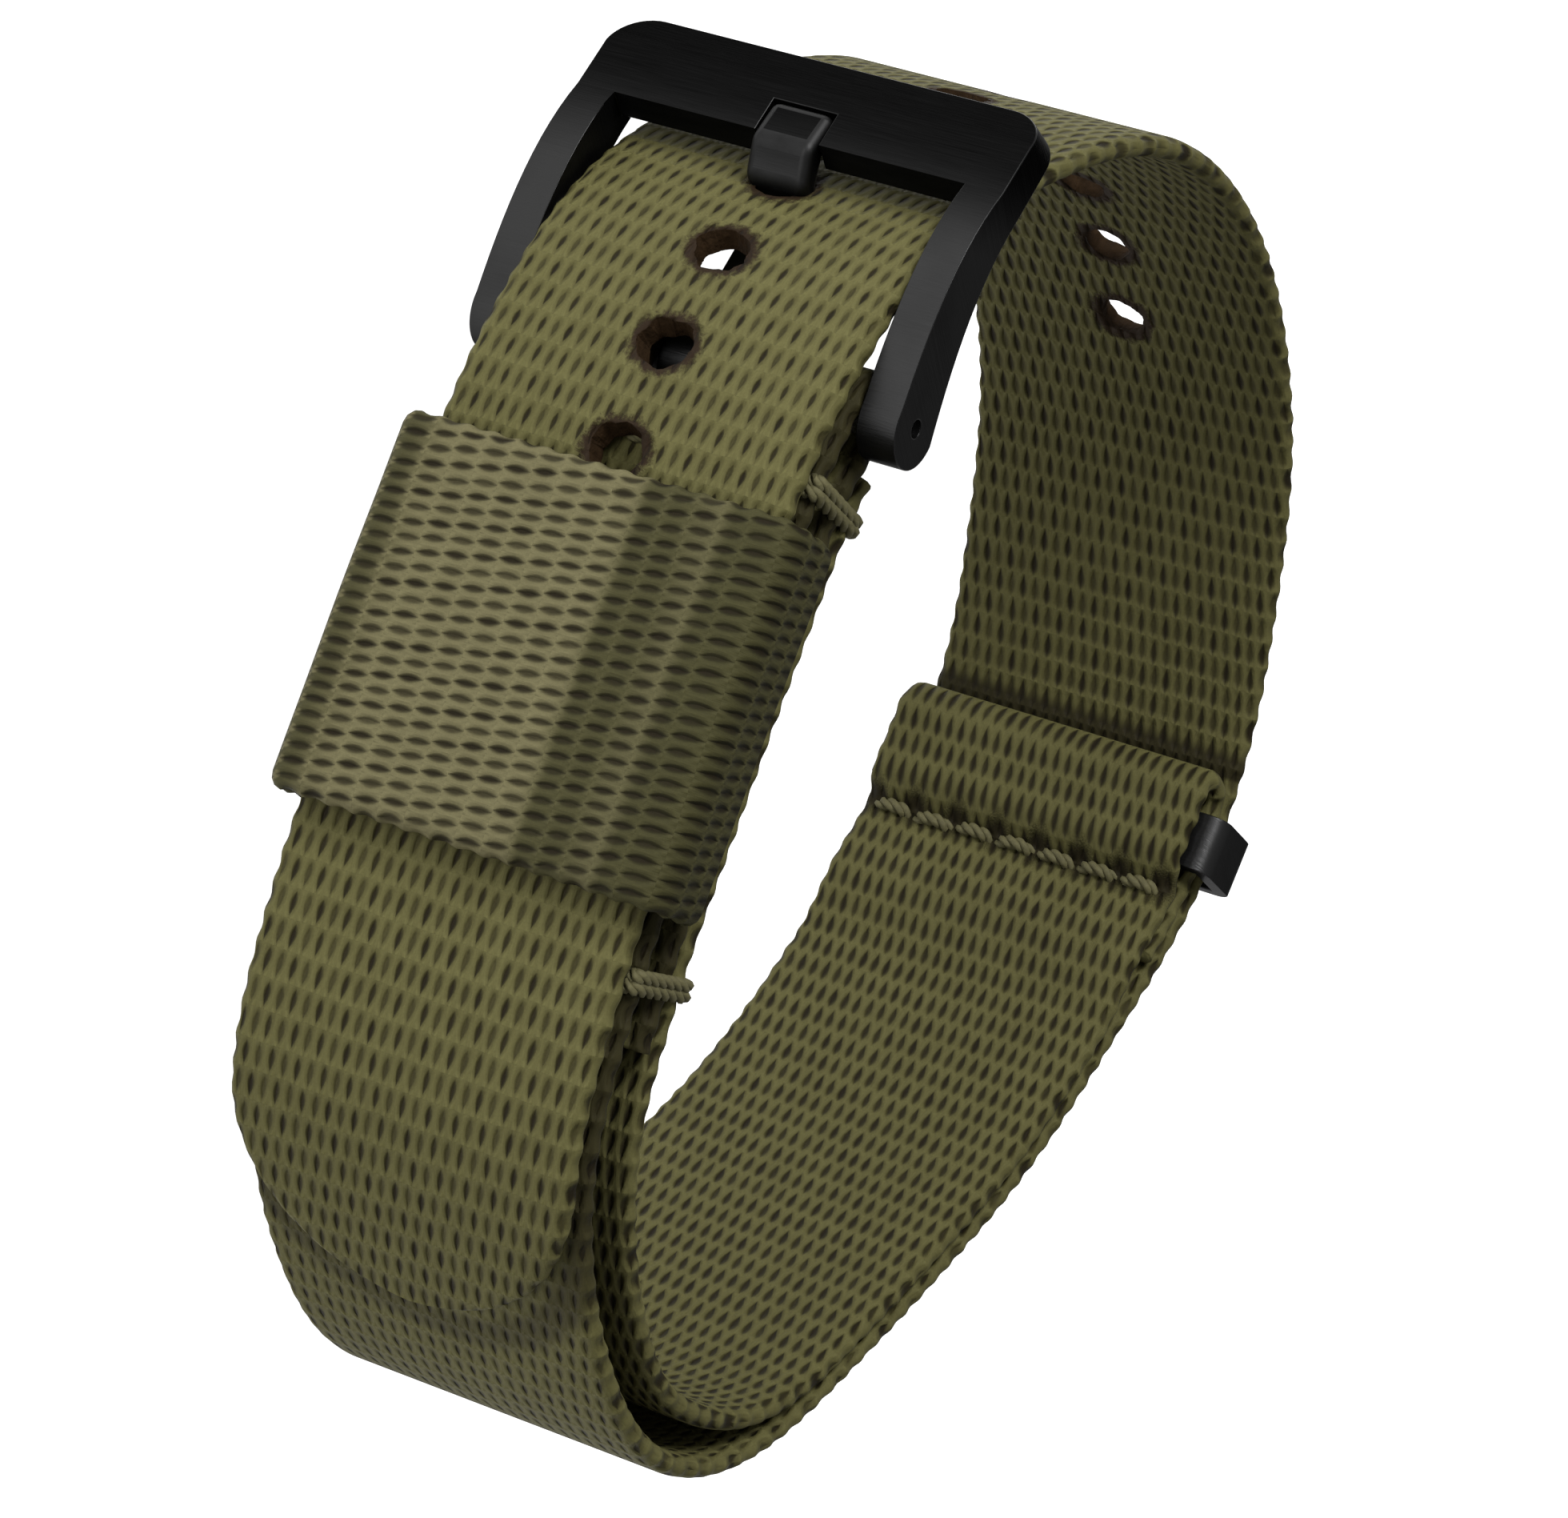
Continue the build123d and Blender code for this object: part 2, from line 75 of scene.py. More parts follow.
PLY = 1.32  # from one sewn layer to the next
SIDE_GAP = 0.25
FOLD_RADIUS = 1.6  # of the fold round the spring bar

TAIL_HEIGHT = 1.8
TAIL_PAST_BAR = 49.3
TAIL_RISE_FROM = 23.0
TAIL_RISE_TO = 2.0
TAIL_LANDS_FROM = 30.0
TAIL_DROP = 0.3  # of the tail towards its tip

FOLD_LEG = 33.5
SLOT_WIDTH = 3.8
SLOT_LENGTH = 2.5
FIRST_HOLE = 38.75  # from the tip
HOLE_PITCH = 5.75
HOLE_COUNT = 13
HOLE_WIDTH = 3.4
HOLE_LENGTH = 3.0
TONGUE_HOLE = 4

KEEPER_FROM = 7.4
KEEPER_LENGTH = 19.5
KEEPER_CORNER = 1.6
KEEPER_OUTER = 2.75  # heights of the keeper's clear space
KEEPER_INNER = -0.72

SHORT_FROM = 2.6
BELLY_GAP = 1.5  # between the two straps round the bottom
BELLY_FROM = 38.0
BELLY_TO = 62.0
RIGHT_FROM = 80.0

RING_AT = 123.2
RING_LENGTH = 3.8  # of the room that the fold leaves for the ring
RING_BAR = 1.0
RING_FOLD_GAP = 0.3
RING_VISIBLE_LENGTH = 3.3
RING_VISIBLE_SIDE = 0.8
RING_PLAY = 0.2  # that the ring stands up
RING_SLIP = 0.2  # that it has slid down the strap
RING_CORNER = 1.1
RING_OUTER_GAP = 0.25
RING_FOLD_AT = RING_AT + 2.3
RING_FOLD_RADIUS = 1.4
RING_FOLD_END = RING_AT - 8.0
RING_SEAM_AT = RING_AT - 4.6
RING_SEAM_INSET = 0.7
RING_STITCHES = 7
PITS_PAST_SEAM = 0.8
SEAM_CLEAR = 0.2  # from the seam to where the fold opens
SEAM_RISE = 6.0
BAR_SEAM_AT = 5.2
KEEPER_SEAM_AT = KEEPER_FROM + KEEPER_LENGTH + 3.2
THREAD_PROUD = 0.2  # of a stitch's middle line, off the webbing

OPENING_HALF = 10.1
FRAME_HALF = 12.25
FRAME_REACH = 17.0
FRAME_TURN = 7.9
# Sides of an arm from its foot to its top, out from the reach's line and up it
ARM_OUTER_SHARES = [
    (0.122, 0.0), (0.158, 0.2), (0.167, 0.45), (0.106, 0.71), (0.066, 0.88), (0.010, 1.0)]
ARM_INNER_SHARES = [
    (-0.122, 0.0), (-0.060, 0.2), (-0.020, 0.46), (-0.045, 0.70), (-0.080, 0.88), (-0.104, 1.0)]
TOP_BAR_FROM = (0.106, 0.71)
TOP_BAR_LEAN = 17.5
PLATE = 1.7
FRAME_CORNER = 2.2
FOOT_HEIGHTS = (0.027, 0.033)  # in metres, where the arms' smoother finish and painted sheen turn to the bar's
PIN_HOLE_RADIUS = 0.47

TONGUE_WIDTH = 3.0
HEAD_WIDTH = 3.5
TONGUE_THICKNESS = 1.0
EYE_BORE = 0.95
EYE_WALL = 0.75
HEAD_THICKNESS = 1.2
HEAD_PROUD = 0.25
HEAD_REACH = 1.95
HEAD_LIP = 0.55
NECK_LENGTH = 1.25
NECK_FLARE = 0.8
NOTCH_GAP = 0.08
NOTCH_LENGTH = 0.7
TONGUE_TAIL_GAP = 0.3


def smooth(share):
    """Smooth step from 0 to 1."""
    share = min(max(share, 0), 1)
    return (1 - cos(pi * share)) / 2


def measured(points):
    """Distances along a row of points, at each of them."""
    return np.concatenate([[0], np.cumsum(np.linalg.norm(np.diff(points, axis=0), axis=1))])


def between(distance, at, points):
    """Place at a distance along a row of points, which lie at the distances in at."""
    return np.array([np.interp(distance, at, column) for column in points.T])


def loop_table():
    """Points and length along the closed smooth curve through the loop's shares."""
    knots = np.array([(x * LOOP_WIDTH, y * LOOP_HEIGHT) for x, y in LOOP_SHARES])
    count = len(knots)
    ahead = np.roll(knots, -1, axis=0)
    gap = np.linalg.norm(ahead - knots, axis=1)
    slope = (ahead - knots) / gap[:, None]
    system = np.zeros((count, count))
    for i in range(count):
        system[i, i - 1] = gap[i - 1]
        system[i, i] = 2 * (gap[i - 1] + gap[i])
        system[i, (i + 1) % count] = gap[i]
    bend = np.linalg.solve(system, 6 * (slope - np.roll(slope, 1, axis=0)))
    after = np.roll(bend, -1, axis=0)
    steps = np.linspace(0, 1, LOOP_STEPS + 1)[:-1]
    points = []
    for i in range(count):
        for t in steps:
            u = 1 - t
            curve = (bend[i] * (u**3 - u) + after[i] * (t**3 - t)) * gap[i] ** 2 / 6
            points.append(knots[i] * u + ahead[i] * t + curve)
    points.append(points[0])
    points = np.array(points)
    return points, measured(points)


LOOP_POINTS, LOOP_AT = loop_table()
LOOP_LENGTH = LOOP_AT[-1]
LINE_STEP = 0.5
LINE_NEAR = 0.2  # to each side of where a direction is taken
# Where painted shade lies on the main strap at the ring's fold, from its tip
FOLD_SHADE_TO = LOOP_LENGTH + TAIL_PAST_BAR - RING_FOLD_AT + 1.1
FOLD_SHADE_FROM = FOLD_SHADE_TO - 1.9


def on_loop(distance):
    """Point of the loop's line, in the side view."""
    return between(distance % LOOP_LENGTH, LOOP_AT, LOOP_POINTS)


def along(distance):
    """Direction of the loop's line."""
    step = on_loop(distance + LINE_NEAR) - on_loop(distance - LINE_NEAR)
    return step / hypot(*step)


def outward(distance):
    """Direction away from the loop's inside."""
    ahead = along(distance)
    return np.array((ahead[1], -ahead[0]))


def place(distance, height=0.0):
    return on_loop(distance) + outward(distance) * height


def main_height(distance):
    """Height of the main strap, which rises to the tail before the spring bar."""
    before_bar = LOOP_LENGTH - distance
    rise = smooth((TAIL_RISE_FROM - before_bar) / (TAIL_RISE_FROM - TAIL_RISE_TO))
    land = smooth((-before_bar - TAIL_LANDS_FROM) / (TAIL_PAST_BAR - TAIL_LANDS_FROM))
    return TAIL_HEIGHT * rise - TAIL_DROP * land


def leg_height(distance):
    """Height of the main strap's folded leg."""
    return -2 * FOLD_RADIUS + (2 * FOLD_RADIUS - 2 * PLY) * smooth(distance / BAR_SEAM_AT)


def short_height(distance):
    """Height of the second strap's inner layer, from the buckle to the ring."""
    stacked = leg_height(distance) - PLY
    belly = -PLY - BELLY_GAP
    height = stacked + (belly - stacked) * smooth((distance - BELLY_FROM) / (BELLY_TO - BELLY_FROM))
    height += (-PLY - belly) * smooth((distance - BELLY_TO) / (RIGHT_FROM - BELLY_TO))
    height -= PLY * smooth((distance - RING_FOLD_END + SEAM_RISE) / SEAM_RISE)
    opens_from = RING_SEAM_AT + SEAM_CLEAR
    opens_to = RING_AT - RING_LENGTH / 2
    return height + (PLY - 2 * RING_FOLD_RADIUS) * smooth((distance - opens_from) / (opens_to - opens_from))


BAR_CENTRE = place(0, -FOLD_RADIUS)


def span(start, end, step):
    """Even values from start to end, at most a step apart."""
    return np.linspace(start, end, max(int(abs(end - start) / step), 2) + 1)


def turn(centre, start, degrees):
    """Points of an arc about a centre, from a start point."""
    arm = start - centre
    angles = np.radians(span(0, degrees, 6)[1:-1])
    return [centre + np.array((arm[0] * cos(a) - arm[1] * sin(a), arm[0] * sin(a) + arm[1] * cos(a)))
            for a in angles]


class Line:
    """Middle line of a layer of webbing, in the side view, with an even measure along it."""

    STEP = 0.1
    SMOOTHED = 4  # points on each side that a normal is averaged over

    def __init__(self, points):
        points = np.array(points)
        at = measured(points)
        self.length = at[-1]
        self.at = np.linspace(0, self.length, int(self.length / self.STEP))
        self.points = between(self.at, at, points).T
        ahead = np.gradient(self.points, axis=0)
        window = np.ones(2 * self.SMOOTHED + 1) / (2 * self.SMOOTHED + 1)
        ahead = np.array([
            np.convolve(np.pad(ahead[:, k], self.SMOOTHED, "edge"), window, "valid") for k in (0, 1)]).T
        ahead /= np.linalg.norm(ahead, axis=1)[:, None]
        self.normals = np.array([ahead[:, 1], -ahead[:, 0]]).T

    def measure(self, spot):
        """Distance along the line of its nearest point."""
        return float(self.at[np.argmin(np.linalg.norm(self.points - spot, axis=1))])

    def point(self, distance):
        return between(distance, self.at, self.points)

    def normal(self, distance):
        return between(distance, self.at, self.normals)


def main_line():
    """Middle line of the main strap, from its folded leg to its tip."""
    leg = [place(s, leg_height(s)) for s in span(FOLD_LEG, 0, LINE_STEP)]
    tail = [place(s, main_height(s)) for s in span(0, LOOP_LENGTH + TAIL_PAST_BAR, LINE_STEP)]
    return Line(leg + turn(BAR_CENTRE, leg[-1], 180) + tail)


def short_line():
    """Middle line of the second strap, from the buckle, round the ring and back."""
    inner = [place(s, short_height(s)) for s in span(SHORT_FROM, RING_FOLD_AT, LINE_STEP)]
    back = [place(s, -PLY) for s in span(RING_FOLD_AT, RING_FOLD_END, LINE_STEP)]
    centre = place(RING_FOLD_AT, -PLY - RING_FOLD_RADIUS)
    return Line(inner + turn(centre, inner[-1], -180) + back)


def keeper_line():
    """Middle line of the keeper's band, as height off the loop against height off the floor."""
    high = KEEPER_OUTER + WEB / 2
    low = KEEPER_INNER - WEB / 2
    side = HALF + SIDE_GAP + WEB / 2
    corner = KEEPER_CORNER - WEB / 2
    points = [(low, 0.0)]
    for centre, start in (
        ((low + corner, -side + corner), pi),
        ((high - corner, -side + corner), 3 * pi / 2),
        ((high - corner, side - corner), 2 * pi),
        ((low + corner, side - corner), 5 * pi / 2),
    ):
        for a in span(start, start + pi / 2, pi / 16):
            points.append((centre[0] + corner * cos(a), centre[1] + corner * sin(a)))
    points.append((low, 0.0))
    return Line(points)


def to_metres(x, y, z):
    """Point of the frame, from the loop's own millimetres."""
    return Vector(((x + STAND.x) * MM, (y + STAND.y) * MM, (z + STAND.z) * MM))


# Sizes and colours


def length_property(name, description, metres):
    return FloatProperty(
        name=name, description=description, default=metres, min=0.0, precision=5, unit="LENGTH")


def colour_property(name, description, colour):
    return FloatVectorProperty(
        name=name, description=description, default=colour, size=3, min=0.0, max=1.0, subtype="COLOR")


class WebbingSizes(bpy.types.PropertyGroup):
    rib_pitch: length_property("Rib pitch", "Spacing of the ribs across the webbing", 0.00077)
    rib_length: length_property("Rib length", "Length of one rib along the webbing", 0.00152)
    selvedge: length_property("Selvedge", "Rounded width of each edge", 0.00075)
    scallop: length_property("Scallop", "Depth of the scallops along the edges", 0.00013)
    station: length_property("Station", "Spacing of the mesh along the webbing", 0.000253)


class ThreadSizes(bpy.types.PropertyGroup):
    radius: length_property("Ply radius", "Radius of one ply of the thread", 0.00023)
    twist: length_property("Twist", "Length of one full twist of the plies", 0.0024)
    inset: length_property("Inset", "From the edge of the webbing to the first stitch", 0.0015)
    stitches: IntProperty(name="Stitches", description="Stitches in each row at the buckle", default=9, min=1)
    share: FloatProperty(
        name="Share", description="Share of the pitch that a stitch covers", default=0.8, min=0.1, max=1.0,
        subtype="FACTOR")


class StrapColours(bpy.types.PropertyGroup):
    webbing: colour_property("Webbing", "Crowns of the ribs", (0.086, 0.080, 0.029))
    rubbed: colour_property("Rubbed webbing", "Face of the keeper", (0.112, 0.101, 0.050))
    shaded: colour_property("Rubbed webbing, low", "Hollows in the face of the keeper", (0.046, 0.040, 0.018))
    # The slits' colour also serves as painted shade: in the seam's pits, under the ring's fold and round the
    # tail.
    slit: colour_property("Slits", "Dark slits between the ribs, and grime", (0.009, 0.0065, 0.002))
    burnt: colour_property("Burnt rim", "Melted rims of the holes", (0.016, 0.009, 0.004))
    thread: colour_property("Thread", "Sewing thread", (0.098, 0.089, 0.038))
    metal: colour_property("Dark metal", "Buckle, tongue and ring", (0.010, 0.010, 0.010))
    steel: colour_property("Bar steel", "Spring bar", (0.35, 0.35, 0.36))
    floor: colour_property("Floor", "Plain floor", (0.5, 0.5, 0.5))


def times(colour, share):
    return tuple(part * share for part in colour)


# Materials


def both_ways(operation):
    """An operator of the class below and its reflected form."""
    return (lambda self, other: self.join(operation, self, other),
            lambda self, other: self.join(operation, other, self))


class Socket:
    """A shader socket that takes part in arithmetic."""

    def __init__(self, tree, socket):
        self.tree = tree
        self.socket = socket

    def join(self, operation, *values):
        """Result of a Math node, from values in its own order."""
        node = self.tree.nodes.new("ShaderNodeMath")
        node.operation = operation
        for place_in, value in zip(node.inputs, values):
            feed(self.tree, place_in, value)
        return Socket(self.tree, node.outputs[0])

    def math(self, operation, *others):
        return self.join(operation, self, *others)

    __add__, __radd__ = both_ways("ADD")
    __sub__, __rsub__ = both_ways("SUBTRACT")
    __mul__, __rmul__ = both_ways("MULTIPLY")
    __truediv__, __rtruediv__ = both_ways("DIVIDE")


def feed(tree, place_in, value):
    """Link or set one socket. A colour of three parts gets its alpha."""
    if isinstance(value, Socket):
        tree.links.new(value.socket, place_in)
    elif place_in.type == "RGBA":
        place_in.default_value = (*value, 1.0)
    else:
        place_in.default_value = value


class Finish:
    """A material under construction."""

    def __init__(self, name):
        self.material = bpy.data.materials.new(name)
        self.material.use_nodes = True
        self.tree = self.material.node_tree
        self.tree.nodes.clear()

    def node(self, kind, settings=None, values=None):
        """Outputs of a new node, its settings made first and then its sockets' values or links."""
        made = self.tree.nodes.new(kind)
        for key, value in (settings or {}).items():
            setattr(made, key, value)
        for key, value in (values or {}).items():
            feed(self.tree, made.inputs[key], value)
        return [Socket(self.tree, output) for output in made.outputs]

    def place(self):
        """The piece's own coordinates, in metres."""
        return self.node("ShaderNodeTexCoord")[3]

    def split(self, vector):
        return self.node("ShaderNodeSeparateXYZ", values={"Vector": vector})

    def combine(self, x, y, z=0.0):
        return self.node("ShaderNodeCombineXYZ", values={"X": x, "Y": y, "Z": z})[0]

    def noise(self, vector, scale, detail, roughness=0.5):
        return self.node("ShaderNodeTexNoise", values={
            "Vector": vector, "Scale": scale, "Detail": detail, "Roughness": roughness})[0]

    def step(self, value, low, high):
        """Smooth step from 0 at low to 1 at high."""
        return self.node("ShaderNodeMapRange", {"interpolation_type": "SMOOTHSTEP"}, {
            "Value": value, "From Min": low, "From Max": high})[0]

    def mix(self, share, first, second):
        return self.node("ShaderNodeMix", {"data_type": "RGBA"}, {0: share, 6: first, 7: second})[2]

    def bump(self, height, strength, distance):
        return self.node("ShaderNodeBump", values={
            "Height": height, "Strength": strength, "Distance": distance})[0]

    def surface(self, values):
        shader = self.node("ShaderNodeBsdfPrincipled", values=values)[0]
        self.node("ShaderNodeOutputMaterial", values={"Surface": shader})
        return self.material


# Shares of one cell of the weave, a rib's length along and a rib's pitch across
SLIT_WIDTH = 0.165
SLIT_LENGTH = 0.35
SLIT_VARIES = 0.08
CELL_SHIFT = 0.12
HOLLOW_MARGIN = 0.10
BRIDGE_FROM = 0.24
SLIT_DEPTH = 0.95
# Where the main strap's weave is looser, as distances from its tip
LOOSE_FROM = (64.0, 72.0)
LOOSE_TO = (165.0, 175.0)
TIP_LOOSE_TO = (26.0, 34.0)
TIP_LOOSER = 0.16
# Bands of painted shade across the keeper's face, and where its painted knuckle highlights grow,
# as heights off the middle of the webbing
KEEPER_DARK = (2.4, 3.6)
KEEPER_LIGHT = (5.6, 7.2)
KEEPER_EDGE = (7.4, 8.6)
KEEPER_LOWER_EDGE = (-10.2, -8.0)
KEEPER_KNUCKLES = (-6.0, -5.0)
# Rings of painted shade round the tail's outline, as distances from its middle line
TAIL_SHADE_IN = (8.6, 9.5)
TAIL_SHADE_OUT = (10.5, 11.6)
WEAVE_RELIEF = 0.00022


def tightness(made, v, size):
    """Size of the main strap's slits along its length."""
    loose = size + made.step(v, *LOOSE_FROM) * (1 - made.step(v, *LOOSE_TO)) * (1 - size)
    return loose + (1 - made.step(v, *TIP_LOOSE_TO)) * TIP_LOOSER


def keeper_face(made, tone, a, b, wander):
    """The keeper's rubbed face: painted shade where it turns from the light, painted highlights on knuckles
    between slits.
    """
    colours = bpy.context.scene.strap_colours
    _, _, z = made.split(made.place())
    side = (z * 1000.0 - STAND.z) + wander * 0.8
    # Painted shade bands across the face, lifted on the knuckles as painted highlights
    turned_shade = made.step(side, *KEEPER_DARK) * 0.95 - made.step(side, *KEEPER_LIGHT) * 0.35
    turned_shade = turned_shade + made.step(side, *KEEPER_EDGE) * 0.50 + (1 - made.step(side, *KEEPER_LOWER_EDGE)) * 0.9
    end = b.math("ABSOLUTE") - 0.5
    oval = 1 - made.step(a * a * 9.0 + end * end * 14.0, 0.25, 1.0)
    knuckle_highlight = oval * (0.15 + (1 - made.step(side, *KEEPER_KNUCKLES)) * 0.75)
    lit = made.mix(tone, colours.shaded, colours.rubbed)
    unlit = made.mix(tone, times(colours.webbing, 0.16), times(colours.webbing, 0.46))
    return made.mix(turned_shade * (1 - knuckle_highlight), lit, unlit)


def seam_pits(made, v, u, fleck, pits):
    """Pits between the stitches of the ring's seam, sunk in the bump and darkened with painted shade."""
    pitch = 2 * (HALF - RING_SEAM_INSET) / RING_STITCHES
    across = ((u / pitch).math("FRACT") - 0.5) * pitch
    off = v - pits
    return 1 - made.step((across * across + off * off * 0.35).math("SQRT") + fleck * 0.3, 0.35, 1.05)


def burnt_rims(made, v, u):
    """Ragged melted rims of the holes."""
    cell = (v - (FIRST_HOLE - HOLE_PITCH / 2)) / HOLE_PITCH
    near = (cell.math("FRACT") - 0.5) * (HOLE_PITCH * 2 / HOLE_LENGTH)
    across = u * (2 / HOLE_WIDTH)
    ragged = made.noise(made.combine(v * 1.7, u * 1.7), 1.0, 4.0, 0.7) - 0.5
    rim = (near * near + across * across).math("SQRT") + ragged * 0.9
    in_row = made.step(cell, 0.0, 0.01) * (1 - made.step(cell, HOLE_COUNT - 0.01, HOLE_COUNT))
    return (1 - made.step(rim, 0.98, 1.30)) * in_row


def fold_shade(made, v):
    """Painted shade under the fold at the ring."""
    above = made.step(v, FOLD_SHADE_FROM, FOLD_SHADE_FROM + 0.8)
    return above * (1 - made.step(v, FOLD_SHADE_TO - 0.3, FOLD_SHADE_TO))


def tail_shade(made, v, u):
    """Painted shade on the strap under the tail's outline, weaker round the tip."""
    past_tip = (v - (LOOP_LENGTH + HALF)).math("MINIMUM", 0.0)
    spread = (past_tip * past_tip + u * u).math("SQRT")
    covered = made.step(spread, *TAIL_SHADE_IN) * (1 - made.step(spread, *TAIL_SHADE_OUT))
    return covered * made.step(v, LOOP_LENGTH - 4.0, LOOP_LENGTH - 3.0) * (past_tip * 0.045 + 1)


def webbing_finish(name, stagger, taper=0.0, lean=0.0, size=1.0, checker=0.05, holes=False, rubbed=False,
                   pits=0.0):
    """Ribbed nylon weave: ribs along the webbing, with a dark slit wherever two of them part.

    stagger shifts each row of slits, taper, lean and size shape them, checker alternates their depth, and
    pits is the distance of a seam's pits. holes adds the main strap's looser weave, burnt rims and painted
    shade under the ring's fold and round the tail, and rubbed gives the keeper's face with its painted shade
    and painted highlights. v runs along the webbing and u across it, in millimetres.
    """
    sizes = bpy.context.scene.webbing_sizes
    colours = bpy.context.scene.strap_colours
    made = Finish(name)
    v, u, _ = made.split(made.node("ShaderNodeUVMap", {"uv_map": "weave"})[0])
    wander = made.noise(made.combine(v * 0.45, u * 0.45), 1.0, 2.0) - 0.5
    loose = tightness(made, v, size) if holes else size
    row = (v + wander * 0.25) / (sizes.rib_length / MM)
    band = row.math("FLOOR")
    column = (u + wander * 0.15) / (sizes.rib_pitch / MM) + band * stagger
    index = column.math("FLOOR")
    cell = made.noise(made.combine(index * 1.7, band * 2.3), 1.0, 0.0) - 0.5
    b = row.math("FRACT") - 0.5 + cell * CELL_SHIFT
    a = column.math("FRACT") - 0.5 - b * lean
    width = (b * taper + 1) * (cell * SLIT_VARIES + SLIT_WIDTH) * loose
    reach = b / (loose * SLIT_LENGTH)
    slit = 1 - made.step((a / width).math("ABSOLUTE") * 0.62 + reach * reach * 0.55, 0.15, 1.25)
    reach = b / 0.5
    groove = (a / (width + HOLLOW_MARGIN)).math("ABSOLUTE") * 0.6 + reach * reach * 0.45
    hollow = 1 - made.step(groove, 0.1, 1.3)
    slit = slit * (SLIT_DEPTH - checker + (index * pi).math("COSINE") * checker + cell * 0.5)
    fibre = made.noise(made.combine(v * 1.2 + u * 1.6, u * 11.0, 3.0), 1.0, 3.0, 0.6) - 0.5
    fleck = made.noise(made.combine(v * 8.0, u * 8.0), 1.0, 2.0, 0.7) - 0.5
    bridge = made.step(b.math("ABSOLUTE"), BRIDGE_FROM, 0.5) * (1 - made.step(a.math("ABSOLUTE"), 0.1, 0.5))
    # Painted shade in the hollows round the slits and painted highlights on the bridges between them, over
    # the yarn's random tone
    tone = 0.84 - hollow * 0.42 + bridge * 0.20 + fibre * 0.55 + fleck * 0.50 + wander * 0.40
    low = tuple(part * share for part, share in zip(colours.webbing, (0.34, 0.31, 0.24)))
    base = made.mix(tone, low, colours.webbing)
    height = bridge * 0.35 - hollow * 0.45 - slit * 0.8 + fibre * 0.14
    # The keeper's face, with its painted shade bands and painted knuckle highlights
    if rubbed:
        base = keeper_face(made, tone, a, b, wander)
    colour = made.mix(slit, base, colours.slit)
    # Painted shade in the seam's sunk pits
    if pits:
        pit = seam_pits(made, v, u, fleck, pits)
        colour = made.mix(pit * 0.95, colour, colours.slit)
        height = height - pit * 1.2
    if holes:
        burn = burnt_rims(made, v, u)
        colour = made.mix(burn, colour, colours.burnt)
        height = height - burn * 0.4
        # Painted shade under the ring's fold
        colour = made.mix(fold_shade(made, v) * 0.85, colour, colours.slit)
        # Painted shade round the tail's outline
        colour = made.mix(tail_shade(made, v, u) * 0.78, colour, colours.slit)
    return made.surface({"Base Color": colour, "Roughness": 0.72, "Specular IOR Level": 0.1,
                         "Normal": made.bump(height, 1.0, WEAVE_RELIEF)})


def grained_finish(name, colour, scale, detail, shares, relief, values):
    """A colour that varies with a fine grain, which also roughens the surface."""
    made = Finish(name)
    grain = made.noise(made.place(), scale, detail, 0.6)
    toned = made.mix(grain, times(colour, shares[0]), times(colour, shares[1]))
    return made.surface({"Base Color": toned, "Normal": made.bump(grain, *relief), **values})


def burnt_finish():
    return grained_finish("burnt rim", bpy.context.scene.strap_colours.burnt, 1800.0, 3.0, (0.5, 1.8),
                          (0.8, 0.0002), {"Roughness": 0.8, "Specular IOR Level": 0.05})


def thread_finish():
    return grained_finish("sewing thread", bpy.context.scene.strap_colours.thread, 3500.0, 2.0, (0.55, 1.1),
                          (0.6, 0.00008), {"Roughness": 0.75, "Specular IOR Level": 0.3})


def dark_metal_finish():
    """Black coated metal: the top bar brushed and dark, the arms smoother towards their feet and lighter
    there with a painted sheen.
    """
    metal = bpy.context.scene.strap_colours.metal
    made = Finish("black satin metal")
    at = made.place()
    x, y, z = made.split(at)
    fine = made.noise(made.combine((x + y) * 9000.0, z * 260.0), 1.0, 2.0, 0.7)
    cloud = made.noise(at, 260.0, 2.0)
    # The feet: smoother, and lighter with a painted sheen
    foot = 1 - made.step(y, *FOOT_HEIGHTS)
    rough = 0.40 - foot * 0.10 + fine * 0.10 + cloud * 0.08
    tone = fine * 0.25 + foot * 0.6 + cloud * foot * 0.5
    return made.surface({
        "Base Color": made.mix(tone, times(metal, 0.2), times(metal, 3.4)), "Metallic": 1.0,
        "Roughness": rough, "Specular Tint": (0.4, 0.4, 0.4), "Normal": made.bump(fine, 0.5, 0.00004)})


def dark_edge_finish(name, rough):
    """Edges of the metal, rubbed and painted brighter than its faces as highlights along them."""
    metal = bpy.context.scene.strap_colours.metal
    made = Finish(name)
    wear_and_highlight = made.noise(made.place(), 420.0, 4.0, 0.65)
    return made.surface({
        "Base Color": made.mix(wear_and_highlight, times(metal, 0.9), times(metal, 3.0)), "Metallic": 1.0,
        "Roughness": wear_and_highlight * 0.08 + rough})


def steel_finish():
    steel = bpy.context.scene.strap_colours.steel
    made = Finish("bar steel")
    grain = made.noise(made.place(), 1500.0, 3.0)
    return made.surface({
        "Base Color": made.mix(grain, times(steel, 0.8), tuple(steel)), "Metallic": 1.0,
        "Roughness": 0.3 + grain * 0.15})


def floor_finish():
    floor = bpy.context.scene.strap_colours.floor
    made = Finish("pale floor")
    grain = made.noise(made.place(), 6.0, 2.0)
    return made.surface({
        "Base Color": made.mix(grain, times(floor, 0.985), tuple(floor)), "Roughness": 0.9,
        "Emission Color": (1.0, 1.0, 1.0), "Emission Strength": 1.0})


# Meshes


